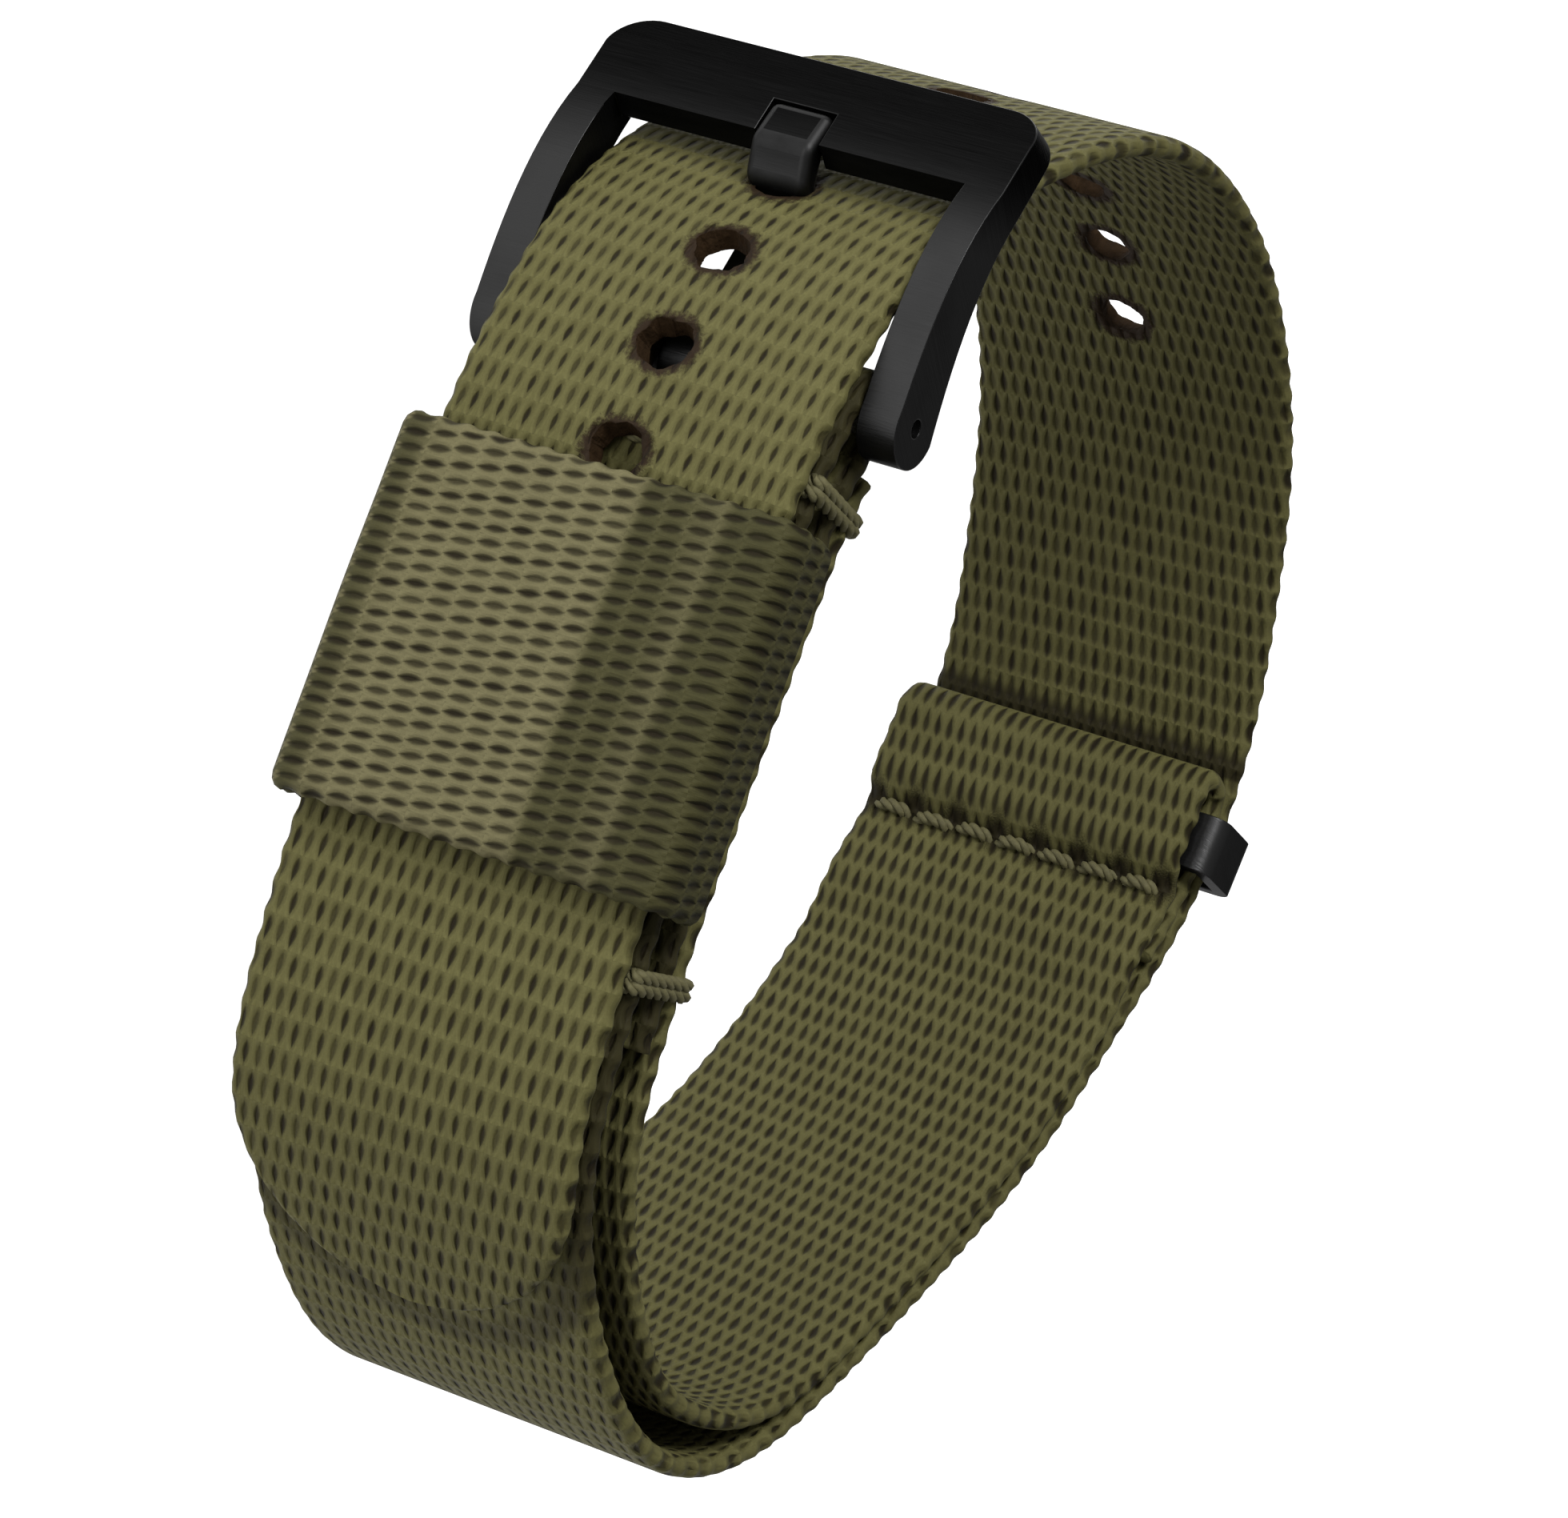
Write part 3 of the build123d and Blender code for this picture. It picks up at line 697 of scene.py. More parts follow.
def finish_mesh(bm, name, materials, shade=True):
    """Object at the origin, made from a bmesh."""
    mesh = bpy.data.meshes.new(name)
    bmesh.ops.recalc_face_normals(bm, faces=bm.faces)
    bm.to_mesh(mesh)
    bm.free()
    piece = bpy.data.objects.new(name, mesh)
    bpy.context.scene.collection.objects.link(piece)
    for material in materials:
        mesh.materials.append(material)
    if shade:
        mesh.shade_smooth()
    return piece


SECTION_FACE = 10
SECTION_EDGE = 6
SECTION = 2 * (SECTION_FACE + SECTION_EDGE)
EDGE_WANDER = 0.3
MERGE = 0.000004  # in metres


def section_point(index, half_width, scallop):
    """One point round the webbing's section: across it, off its middle, and the weave's measure."""
    edge = min(bpy.context.scene.webbing_sizes.selvedge / MM, half_width)
    flat = half_width - edge
    side = 1 if index % SECTION < SECTION // 2 else -1
    part = index % (SECTION // 2)
    if part <= SECTION_FACE:
        across = side * (-flat + 2 * flat * part / SECTION_FACE)
        return across, side * WEB / 2, across
    angle = pi / 2 - pi * (part - SECTION_FACE) / SECTION_EDGE
    across = flat + edge * cos(angle)
    return side * (across - scallop * cos(angle)), side * WEB / 2 * sin(angle), side * across


def weave_mesh(measures, half_width, put, closed=False):
    """Webbing as a grid wrapped round its section. put places a point from its station and section."""
    sizes = bpy.context.scene.webbing_sizes
    bm = bmesh.new()
    stations = len(measures)
    bmesh.ops.create_grid(bm, x_segments=stations - 1, y_segments=SECTION, size=1.0)
    layer = bm.loops.layers.uv.new("weave")
    made = {}
    for vert in bm.verts:
        i = round((vert.co.x + 1) / 2 * (stations - 1))
        j = round((vert.co.y + 1) / 2 * SECTION)
        made[vert] = (i, j)
        at = measures[i]
        wave = (1 - cos(2 * pi * at / (sizes.rib_length / MM))) / 2
        side = 7.0 if j > SECTION / 2 else 0.0
        wander = 0.0 if closed else noise.noise(Vector((at * 1.3, side, 0.0))) * EDGE_WANDER
        across, off, _ = section_point(j, half_width(at), sizes.scallop / MM * (wave + wander))
        vert.co = put(i, across, off)
    for face in bm.faces:
        for loop in face.loops:
            i, j = made[loop.vert]
            loop[layer].uv = (measures[i], section_point(j, half_width(measures[i]), 0.0)[2])
    bmesh.ops.remove_doubles(bm, verts=bm.verts, dist=MERGE)
    if not closed:
        bmesh.ops.holes_fill(bm, edges=[e for e in bm.edges if e.is_boundary], sides=0)
    return bm


def cut(piece, cutter):
    """Take the cutter's shape out of the piece, and remove the cutter."""
    change = piece.modifiers.new("cut", "BOOLEAN")
    change.operation = "DIFFERENCE"
    change.object = cutter
    change.solver = "EXACT"
    change.material_mode = "TRANSFER"
    bpy.context.view_layer.update()
    graph = bpy.context.evaluated_depsgraph_get()
    mesh = bpy.data.meshes.new_from_object(piece.evaluated_get(graph), depsgraph=graph)
    piece.modifiers.clear()
    old = piece.data
    piece.data = mesh
    mesh.name = old.name
    bpy.data.meshes.remove(old)
    bpy.data.objects.remove(cutter)


def box_mesh(bm, centre, x_axis, size_x, size_y, size_z):
    """Box with its X along a direction in the side view, all in millimetres."""
    x_dir = Vector((*x_axis, 0)).normalized()
    y_dir = Vector((-x_dir.y, x_dir.x, 0))
    turn_to = Matrix((x_dir, y_dir, Vector((0, 0, 1)))).transposed().to_4x4()
    scale = Matrix.Diagonal((size_x * MM, size_y * MM, size_z * MM, 1))
    move = Matrix.Translation(to_metres(*centre, 0))
    return bmesh.ops.create_cube(bm, size=1.0, matrix=move @ turn_to @ scale)["verts"]


# Webbing


HOLE_SHARE = 0.94  # of a hole's size, before it is roughened
HOLE_TAPER = 0.76
HOLE_ROUGHNESS = 0.2
HOLE_DEPTH = 1.9
SLOT_DEPTH = 2 * (FOLD_RADIUS + 0.7)
TIP_END = radians(88)
TIP_STEP = radians(3)
TIP_LEAST = 0.35  # half width at the very tip
STATIONS_IN_RIB = 6  # of the keeper


def hole_cutter(cutters, line, number):
    """Ragged tapered plug for one hole of the row."""
    distance = line.length - FIRST_HOLE - number * HOLE_PITCH
    spot, out = line.point(distance), line.normal(distance)
    ahead = Vector((-out[1], out[0], 0))
    turn_to = Matrix((ahead, Vector((0, 0, 1)), Vector((*out, 0)))).transposed().to_4x4()
    onto = Matrix.Translation(to_metres(*spot, 0)) @ turn_to
    plug = bmesh.ops.create_cone(
        cutters, cap_ends=True, segments=36, radius1=HOLE_TAPER, radius2=1.0, depth=1.0)["verts"]
    for vert in plug:
        x, y, z = vert.co
        rough = HOLE_SHARE + HOLE_ROUGHNESS * noise.noise(Vector((x * 2.6, y * 2.6, number * 5.0 + z)))
        size = (HOLE_LENGTH / 2 * rough * MM, HOLE_WIDTH / 2 * rough * MM, HOLE_DEPTH * MM)
        vert.co = onto @ Vector((x * size[0], y * size[1], z * size[2]))


def laid(line, at, spot):
    """Function that puts a point of the section at a station of a line, by way of the line's own view."""
    points = [line.point(d) for d in at]
    normals = [line.normal(d) for d in at]

    def put(i, across, off):
        return spot(*(points[i] + normals[i] * off), across)

    return put


def build_main_strap():
    station = bpy.context.scene.webbing_sizes.station / MM
    line = main_line()
    body = list(span(0, line.length - HALF, station))
    tip = [line.length - HALF + HALF * sin(a) for a in span(0, TIP_END, TIP_STEP)[1:]]
    at = np.array(body + tip)

    def half_width(measure):
        short = max(HALF - measure, 0)
        return max(sqrt(max(HALF**2 - short**2, 0)), TIP_LEAST)

    bm = weave_mesh(line.length - at, half_width, laid(line, at, to_metres))
    piece = finish_mesh(bm, "main_strap_webbing", [webbing_finish(
        "main webbing", 0.6, taper=1.2, lean=0.15, size=0.66, checker=0.22, holes=True)])
    cutters = bmesh.new()
    for number in range(HOLE_COUNT):
        hole_cutter(cutters, line, number)
    reach = FOLD_RADIUS + WEB
    middle = BAR_CENTRE + along(0) * (SLOT_LENGTH - reach) / 2
    box_mesh(cutters, middle, along(0), SLOT_LENGTH + reach, SLOT_DEPTH, SLOT_WIDTH)
    cut(piece, finish_mesh(cutters, "strap_cutters", [burnt_finish()], shade=False))
    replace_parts(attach(piece, "webbing"), "main_strap")


def build_short_strap():
    line = short_line()
    at = span(0, line.length, bpy.context.scene.webbing_sizes.station / MM)
    bm = weave_mesh(at, lambda measure: HALF, laid(line, at, to_metres))
    pits_at = RING_SEAM_AT + PITS_PAST_SEAM
    pits = line.measure(place(pits_at, short_height(pits_at)))
    piece = finish_mesh(bm, "short_strap_webbing", [webbing_finish(
        "second webbing", -0.17, taper=-1.2, lean=-0.25, size=0.92, pits=pits)])
    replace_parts(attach(piece, "webbing"), "short_strap")


def build_keeper():
    line = keeper_line()
    rib_length = bpy.context.scene.webbing_sizes.rib_length / MM
    ribs = round(line.length / rib_length)
    at = np.linspace(0, line.length, ribs * STATIONS_IN_RIB + 1)
    middle = KEEPER_FROM + KEEPER_LENGTH / 2

    def round_straps(height, z, across):
        return to_metres(*place(middle + across, height), z)

    even = ribs * rib_length / line.length
    put = laid(line, at, round_straps)
    bm = weave_mesh(at * even, lambda measure: KEEPER_LENGTH / 2, put, closed=True)
    piece = finish_mesh(bm, "keeper_webbing", [webbing_finish(
        "keeper webbing", 0.37, lean=-0.2, size=0.97, checker=0.10, rubbed=True)])
    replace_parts(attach(piece, "webbing"), "keeper")


# Metal pieces


def frame_axes():
    """Up and outward along the arms, and up and inward along the top bar, in the side view."""
    ahead = along(0)
    lean = np.arctan2(-ahead[0], -ahead[1]) - radians(FRAME_TURN)
    tilt = lean + radians(TOP_BAR_LEAN)
    up_arm = np.array((sin(lean), cos(lean)))
    out_arm = np.array((-cos(lean), sin(lean)))
    up_bar = np.array((sin(tilt), cos(tilt)))
    into_bar = np.array((cos(tilt), -sin(tilt)))
    return up_arm, out_arm, up_bar, into_bar


def arm_point(share):
    """Point of the side view, from shares of the frame's reach."""
    up_arm, out_arm, _, _ = frame_axes()
    return BAR_CENTRE + out_arm * (share[0] * FRAME_REACH) + up_arm * (share[1] * FRAME_REACH)


def bar_point(a, d):
    """Point of the side view, up the top bar's face and into it from its lower outer corner."""
    _, _, up_bar, into_bar = frame_axes()
    return arm_point(TOP_BAR_FROM) + up_bar * a + into_bar * d


ARM_CURVED = 4  # knots of an arm's side below the top bar's straight face
ARM_POINTS = 14
EDGE_ANGLE = radians(30)
FRAME_EDGE = 0.45
RING_EDGE = 0.3
HEAD_EDGE = 0.5
STEM_EDGE = 0.1
EYE_EDGE = 0.08
TOP_SLACK = 0.05


def arm_side(shares):
    """One long side of an arm, upward: a smooth curve, with the top bar's straight face left as it is."""
    knots = np.array([arm_point(share) for share in shares])
    curved = knots[:ARM_CURVED]
    at = measured(curved)
    curve = [np.polyfit(at, curved[:, k], 3) for k in (0, 1)]
    spots = np.linspace(0, at[-1], ARM_POINTS)
    return [np.array([np.polyval(f, t) for f in curve]) for t in spots] + list(knots[ARM_CURVED:])


def extruded(bm, outline, z_from, z_to):
    """Closed solid with an outline in the side view, between two heights off the middle."""
    base = [bm.verts.new(to_metres(*point, z_from)) for point in outline]
    face = bm.faces.new(base)
    grown = bmesh.ops.extrude_face_region(bm, geom=[face])["geom"]
    top = [item for item in grown if isinstance(item, bmesh.types.BMVert)]
    bmesh.ops.translate(bm, verts=top, vec=(0, 0, (z_to - z_from) * MM))
    bmesh.ops.recalc_face_normals(bm, faces=bm.faces)


def cutter_mesh(build):
    """Cutter whose shape a function builds in a bmesh."""
    bm = bmesh.new()
    build(bm)
    return finish_mesh(bm, "cutter", [], shade=False)


def soften(piece, width):
    """Fine rounded edges all over a metal piece, in its last material."""
    edge = piece.modifiers.new("soft edges", "BEVEL")
    edge.width = width * MM
    edge.segments = 4
    edge.limit_method = "ANGLE"
    edge.angle_limit = EDGE_ANGLE
    edge.harden_normals = True
    edge.material = len(piece.data.materials) - 1


def build_frame(materials):
    outer = arm_side(ARM_OUTER_SHARES)
    inner = arm_side(ARM_INNER_SHARES)[::-1]
    foot = turn(BAR_CENTRE, inner[-1], -180)
    bm = bmesh.new()
    extruded(bm, outer + inner + foot, -FRAME_HALF, FRAME_HALF)
    up_arm, _, _, _ = frame_axes()
    top = (arm_point(ARM_OUTER_SHARES[-1]) - BAR_CENTRE) @ up_arm

    def at_top(vert):
        spot = np.array((vert.co.x, vert.co.y)) / MM - np.array((STAND.x, STAND.y))
        return (spot - BAR_CENTRE) @ up_arm > top - TOP_SLACK

    level = [e for e in bm.edges if abs(e.verts[0].co.z - e.verts[1].co.z) < MERGE]
    corners = [e for e in level if all(map(at_top, e.verts))]
    bmesh.ops.bevel(
        bm, geom=corners, offset=FRAME_CORNER * MM, segments=10, profile=0.5, affect="EDGES", material=-1)
    piece = finish_mesh(bm, "buckle", materials)
    reach = FRAME_REACH
    depth = HEAD_THICKNESS - HEAD_PROUD + NOTCH_GAP
    notch = HEAD_REACH + NOTCH_GAP
    side = HEAD_WIDTH / 2 + NOTCH_GAP
    opening_outline = [bar_point(a, d) for a, d in (
        (-2 * reach, -reach), (0, -reach), (0, PLATE), (reach, PLATE), (reach, reach), (-2 * reach, reach))]
    notch_outline = [bar_point(a, d) for a, d in (
        (-1, -1), (notch, -1), (notch, depth), (NOTCH_LENGTH, depth), (NOTCH_LENGTH, PLATE + 1),
        (-1, PLATE + 1))]
    hole_at = Matrix.Translation(to_metres(*BAR_CENTRE, 0))
    cut(piece, cutter_mesh(lambda bm: extruded(bm, opening_outline, -OPENING_HALF, OPENING_HALF)))
    cut(piece, cutter_mesh(lambda bm: extruded(bm, notch_outline, -side, side)))
    cut(piece, cutter_mesh(lambda bm: bmesh.ops.create_cone(
        bm, cap_ends=True, segments=32, radius1=PIN_HOLE_RADIUS * MM, radius2=PIN_HOLE_RADIUS * MM,
        depth=(2 * FRAME_HALF + 1) * MM, matrix=hole_at)))
    soften(piece, FRAME_EDGE)
    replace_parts(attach(piece, "buckle"), "buckle_frame")


def build_ring(materials):
    """Loop of flat bar round both straps, a little slimmer than the space it stands in."""
    low = -PLY - WEB / 2 - RING_FOLD_GAP - RING_BAR
    high = WEB / 2 + RING_OUTER_GAP + RING_BAR
    depth = high - low
    inside = HALF + SIDE_GAP
    out = outward(RING_AT)
    spot = place(RING_AT - RING_SLIP, (low + high) / 2)
    lengthways = Vector((*along(RING_AT), 0))
    bm = bmesh.new()
    block = box_mesh(bm, spot, out, depth, RING_VISIBLE_LENGTH, 2 * (inside + RING_VISIBLE_SIDE))
    bmesh.ops.translate(bm, verts=block, vec=(0, 0, RING_PLAY * MM))
    corners = [e for e in bm.edges if abs((e.verts[0].co - e.verts[1].co).normalized() @ lengthways) > 0.99]
    bmesh.ops.bevel(
        bm, geom=corners, offset=RING_CORNER * MM, segments=6, profile=0.5, affect="EDGES", material=-1)
    piece = finish_mesh(bm, "strap_ring", materials)
    cut(piece, cutter_mesh(lambda bm: box_mesh(bm, spot, out, depth - 2 * RING_BAR, RING_LENGTH, 2 * inside)))
    soften(piece, RING_EDGE)
    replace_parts(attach(piece, "ring"), "ring")


def build_tongue(materials):
    _, _, up_bar, into_bar = frame_axes()
    line = main_line()
    hole = line.point(line.length - FIRST_HOLE - TONGUE_HOLE * HOLE_PITCH) - arm_point(TOP_BAR_FROM)
    hole_a, hole_d = float(hole @ up_bar), float(hole @ into_bar)
    low, high = hole_a - NECK_LENGTH / 2, hole_a + NECK_LENGTH / 2
    end = hole_d + WEB / 2 + TONGUE_TAIL_GAP + TONGUE_THICKNESS
    under = HEAD_THICKNESS - HEAD_PROUD
    bm = bmesh.new()
    extruded(bm, [bar_point(a, d) for a, d in (
        (-HEAD_LIP, -HEAD_PROUD), (HEAD_REACH, -HEAD_PROUD), (HEAD_REACH, under),
        (NOTCH_LENGTH - NOTCH_GAP, under), (high, hole_d - WEB / 2), (high, end), (low, end),
        (low, hole_d - WEB / 2 - NECK_FLARE))], -HEAD_WIDTH / 2, HEAD_WIDTH / 2)
    head = finish_mesh(bm, "tongue_head", materials)

    foot = bar_point(high - TONGUE_THICKNESS / 2, end - TONGUE_THICKNESS / 2)
    run = foot - BAR_CENTRE
    clear = EYE_BORE + EYE_WALL / 2
    length = hypot(*run)
    bm = bmesh.new()
    middle = (foot + BAR_CENTRE + run / length * clear) / 2
    box_mesh(bm, middle, run, length - clear, TONGUE_THICKNESS, TONGUE_WIDTH)
    stem = finish_mesh(bm, "tongue_stem", materials)

    bm = bmesh.new()
    centre = to_metres(*BAR_CENTRE, 0)
    half = TONGUE_WIDTH / 2
    corners = [bm.verts.new(centre + Vector((r * MM, 0, z * MM))) for r, z in (
        (EYE_BORE, -half), (EYE_BORE + EYE_WALL, -half), (EYE_BORE + EYE_WALL, half), (EYE_BORE, half))]
    edges = [bm.edges.new((corners[i], corners[(i + 1) % 4])) for i in range(4)]
    bmesh.ops.spin(
        bm, geom=corners + edges, cent=centre, axis=(0, 0, 1), angle=2 * pi, steps=40, use_merge=True)
    eye = finish_mesh(bm, "tongue_eye", materials)
    for piece, width in ((head, HEAD_EDGE), (stem, STEM_EDGE), (eye, EYE_EDGE)):
        soften(piece, width)
        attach(piece, "tongue")
        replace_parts(piece, "tongue")


# Thread


PLY_SIDES = 6
PLY_STEP = 0.16
PLY_OFFSET = 0.82  # of a ply's middle from the thread's, as a share of its radius
PLY_PHASES = (0, 2 * pi / 3, 4 * pi / 3)
STITCH_STEP = 0.08  # as a share of a stitch
STITCH_STEEP = 4.2
STITCH_SINK = 0.5
STITCH_BOW = 0.12
STITCH_JOG = 0.3
EDGE_WRAPS = 2
WRAP_PITCH = 0.5
WRAP_JOG = 0.1
WRAP_DEPTH = 0.55  # that a turn of thread reaches in from the edge
WRAP_DEEPER = 0.2  # every second turn
WRAP_SINK = 0.5
WRAP_EASE = 0.2
WRAP_TURN = 0.3  # from a corner of the edge to where a turn of thread bends
WRAP_INSIDE = 0.05
SLANT = Vector((0.31, 0.62, 0.72))  # a direction that no stitch runs in


def ply_tube(bm, points, radius, phase, twist):
    """One ply that winds round the line through the points."""
    path = np.array(points)
    at = measured(path)
    steps = max(int(at[-1] / PLY_STEP), PLY_SIDES)
    grid = bmesh.ops.create_grid(bm, x_segments=steps, y_segments=PLY_SIDES, size=1.0)["verts"]
    stops = [at[-1] * i / steps for i in range(steps + 1)]
    line = [Vector(between(stop, at, path)) for stop in stops]
    rings = []
    for i, stop in enumerate(stops):
        ahead = (line[min(i + 1, steps)] - line[max(i - 1, 0)]).normalized()
        side = ahead.cross(SLANT).normalized()
        up = ahead.cross(side)
        angle = phase + 2 * pi * stop / twist
        centre = line[i] + (side * cos(angle) + up * sin(angle)) * radius * PLY_OFFSET
        rings.append((centre, side, up))
    for vert in grid:
        i = round((vert.co.x + 1) / 2 * steps)
        j = round((vert.co.y + 1) / 2 * PLY_SIDES)
        centre, side, up = rings[i]
        angle = 2 * pi * j / PLY_SIDES
        spot = centre + (side * cos(angle) + up * sin(angle)) * radius
        vert.co = to_metres(*spot)


def stitch_path(distance, z_from, z_to, height, sink):
    """Line of one visible stitch: out of the webbing, along its face and in again."""
    points = []
    for t in span(0, 1, STITCH_STEP):
        lift = min(1.0, STITCH_STEEP * t, STITCH_STEEP * (1 - t))
        spot = place(distance + STITCH_BOW * sin(pi * t), height - sink * (1 - smooth(lift)))
        points.append((*spot, z_from + (z_to - z_from) * t))
    return points


def wrap_path(distance, side, low, high, depth):
    """Line of a turn of thread over one edge of the layers."""
    end = HALF - depth
    bend = HALF - WRAP_TURN
    edge = HALF - WRAP_INSIDE
    points = []
    for height, z in (
        (low + WRAP_SINK, end), (low, end + WRAP_EASE), (low, bend), (low + WRAP_TURN, edge),
        (high - WRAP_TURN, edge), (high, bend), (high, end + WRAP_EASE), (high - WRAP_SINK, end),
    ):
        points.append((*place(distance, height), side * z))
    return points


def build_seam(node, distance, faces, wraps, stitches, inset):
    """Rows of stitches on faces, each with its height and its way out, and turns of thread at the edges."""
    sizes = bpy.context.scene.thread_sizes
    first = HALF - inset
    pitch = 2 * first / stitches
    run = pitch * sizes.share
    paths = []
    for height, way in faces:
        for i in range(stitches):
            middle = (i + 0.5) * pitch - first
            jog = STITCH_JOG * noise.noise(Vector((i * 3.7, distance, height)))
            paths.append((i, stitch_path(
                distance + jog, middle - run / 2, middle + run / 2, height, way * STITCH_SINK)))
    low, high = min(f[0] for f in faces), max(f[0] for f in faces)
    for i in range(wraps):
        for side in (-1, 1):
            jog = WRAP_JOG * noise.noise(Vector((i * 2.3, side, 0)))
            at = distance + (i - (wraps - 1) / 2) * WRAP_PITCH + jog
            paths.append((i, wrap_path(at, side, low, high, WRAP_DEPTH + WRAP_DEEPER * (i % 2))))
    bm = bmesh.new()
    for i, path in paths:
        for phase in PLY_PHASES:
            ply_tube(bm, path, sizes.radius / MM, phase + i, sizes.twist / MM)
    bmesh.ops.remove_doubles(bm, verts=bm.verts, dist=MERGE)
    bmesh.ops.holes_fill(bm, edges=[e for e in bm.edges if e.is_boundary], sides=0)
    piece = finish_mesh(bm, node + "_thread", [thread_finish()])
    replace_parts(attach(piece, "webbing"), node)


def build_seams():
    sizes = bpy.context.scene.thread_sizes
    outer = (WEB / 2 + THREAD_PROUD, 1)

    def inner(distance):
        return short_height(distance) - WEB / 2 - THREAD_PROUD, -1

    at_buckle = (EDGE_WRAPS, sizes.stitches, sizes.inset / MM)
    build_seam("bar_seam", BAR_SEAM_AT, [inner(BAR_SEAM_AT), outer], *at_buckle)
    build_seam("keeper_seam", KEEPER_SEAM_AT, [inner(KEEPER_SEAM_AT), outer], *at_buckle)
    build_seam("ring_seam", RING_SEAM_AT, [inner(RING_SEAM_AT)], 0, RING_STITCHES, RING_SEAM_INSET)


# Stage


# Places are in metres, and the lens in millimetres
CAMERA_AT = Vector((-0.2812997, 0.0394222, 0.15449))
CAMERA_RIGHT = Vector((0.46877, 0.23781, 0.85071))
CAMERA_UP = Vector((0.0, 0.96308, -0.26923))
CAMERA_BACK = Vector((-0.88332, 0.12620, 0.45146))
CAMERA_LENS = 139.16
MIDDLE = Vector((0.0, 0.0, 0.0125))
WORLD_LIGHT = 0.45
FLOOR_HALF = 3.0
FLOOR_DROP = 0.00002  # below what stands on it
# Name, place from the middle, power in watts, width and height of each soft light
LIGHTS = (
    ("key", Vector((-0.30, 0.55, 0.38)), 6.0, 0.30, 0.30),
    ("front", Vector((-0.60, 0.10, 0.03)), 1.1, 0.40, 0.08),
)


def build_floor():
    bm = bmesh.new()
    bmesh.ops.create_grid(bm, x_segments=1, y_segments=1, size=FLOOR_HALF)
    bmesh.ops.translate(bm, verts=bm.verts, vec=(0, 0, -FLOOR_DROP))
    floor = finish_mesh(bm, "floor", [floor_finish()], shade=False)


def build_camera():
    lens = bpy.data.cameras.new("camera")
    lens.sensor_width = 36.0
    lens.lens = CAMERA_LENS
    lens.clip_start = 0.01
    lens.clip_end = 20.0
    camera = bpy.data.objects.new("camera", lens)
    turn_to = Matrix((CAMERA_RIGHT, CAMERA_UP, CAMERA_BACK)).transposed().to_4x4()
    camera.matrix_world = Matrix.Translation(CAMERA_AT) @ turn_to
    bpy.context.scene.collection.objects.link(camera)
    bpy.context.scene.camera = camera


def build_lights():
    for name, spot, power, width, height in LIGHTS:
        light = bpy.data.lights.new(name, "AREA")
        light.shape = "RECTANGLE"
        light.energy = power
        light.size = width
        light.size_y = height
        lamp = bpy.data.objects.new(name, light)
        lamp.location = MIDDLE + spot
        lamp.rotation_euler = spot.to_track_quat("Z", "Y").to_euler()
        bpy.context.scene.collection.objects.link(lamp)
    world = bpy.data.worlds.new("studio")
    world.use_nodes = True
    background = world.node_tree.nodes["Background"]
    background.inputs["Color"].default_value = (1.0, 1.0, 1.0, 1.0)
    background.inputs["Strength"].default_value = WORLD_LIGHT
    bpy.context.scene.world = world
    bpy.context.scene.view_settings.view_transform = "Standard"


# Operators


class STRAP_OT_stage(bpy.types.Operator):
    """Floor, camera and lights"""

    bl_idname = "strap.stage"
    bl_label = "Stage"

    def execute(self, context):
        build_floor()
        build_camera()
        build_lights()
        return {"FINISHED"}


class STRAP_OT_main(bpy.types.Operator):
    """Main strap with its holes"""

    bl_idname = "strap.main"
    bl_label = "Main strap"

    def execute(self, context):
        build_main_strap()
        return {"FINISHED"}


class STRAP_OT_short(bpy.types.Operator):
    """Second strap, folded round the ring"""

    bl_idname = "strap.short"
    bl_label = "Second strap"

    def execute(self, context):
        build_short_strap()
        return {"FINISHED"}


class STRAP_OT_keeper(bpy.types.Operator):
    """Keeper band"""

    bl_idname = "strap.keeper"
    bl_label = "Keeper"

    def execute(self, context):
        build_keeper()
        return {"FINISHED"}


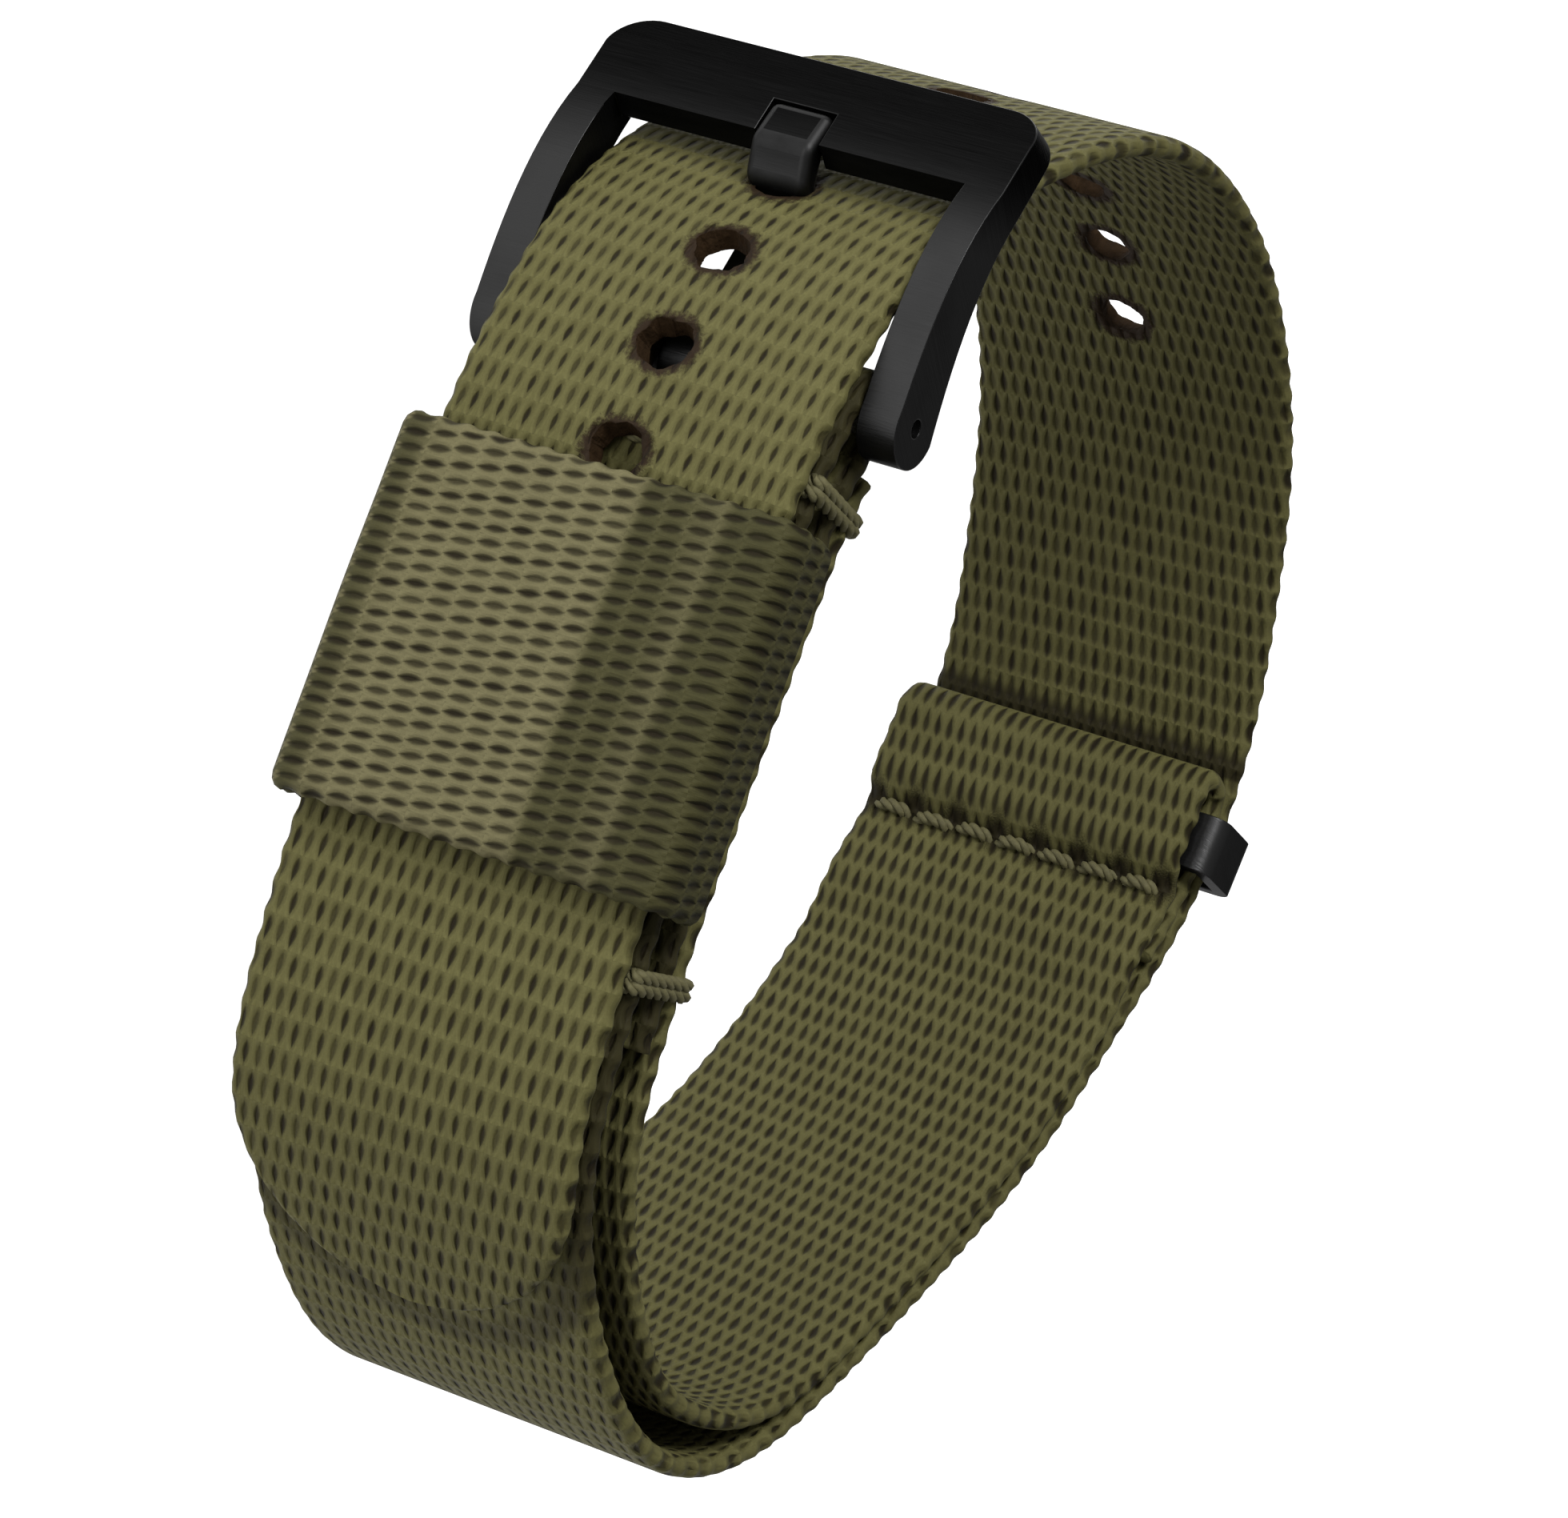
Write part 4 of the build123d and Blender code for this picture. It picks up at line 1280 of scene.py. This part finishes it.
class STRAP_OT_seams(bpy.types.Operator):
    """Rows of stitches and the thread over the edges"""

    bl_idname = "strap.seams"
    bl_label = "Seams"

    def execute(self, context):
        build_seams()
        return {"FINISHED"}


class STRAP_OT_metal(bpy.types.Operator):
    """Buckle, tongue, ring and spring bar"""

    bl_idname = "strap.metal"
    bl_label = "Metal pieces"

    def execute(self, context):
        dark = dark_metal_finish()
        steel = steel_finish()
        # Worn edges with painted highlights on the frame and the tongue
        build_frame([dark, dark_edge_finish("rubbed black edge with painted highlight", 0.28)])
        build_tongue([dark, dark_edge_finish("worn black edge with painted highlight", 0.44)])
        build_ring([dark])
        for node in ("spring_bar_tube", "spring_bar_pin_upper", "spring_bar_pin_lower", "spring_bar_coil"):
            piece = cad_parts[node]
            piece.data.materials.clear()
            piece.data.materials.append(steel)
        return {"FINISHED"}


OPERATORS = (STRAP_OT_stage, STRAP_OT_main, STRAP_OT_short, STRAP_OT_keeper, STRAP_OT_seams, STRAP_OT_metal)


class STRAP_PT_panel(bpy.types.Panel):
    bl_label = "Webbing watch strap"
    bl_space_type = "VIEW_3D"
    bl_region_type = "UI"
    bl_category = "Strap"

    def draw(self, context):
        for operator in OPERATORS:
            self.layout.operator(operator.bl_idname)


GROUPS = (WebbingSizes, ThreadSizes, StrapColours)


def register():
    for group in (*GROUPS, *OPERATORS, STRAP_PT_panel):
        bpy.utils.register_class(group)
    bpy.types.Scene.webbing_sizes = PointerProperty(type=WebbingSizes)
    bpy.types.Scene.thread_sizes = PointerProperty(type=ThreadSizes)
    bpy.types.Scene.strap_colours = PointerProperty(type=StrapColours)


def unregister():
    del bpy.types.Scene.webbing_sizes
    del bpy.types.Scene.thread_sizes
    del bpy.types.Scene.strap_colours
    for group in reversed((*GROUPS, *OPERATORS, STRAP_PT_panel)):
        bpy.utils.unregister_class(group)


def main():
    register()
    for operator in OPERATORS:
        group, name = operator.bl_idname.split(".")
        getattr(getattr(bpy.ops, group), name)()
    bpy.context.view_layer.update()


if __name__ == "__main__":
    main()
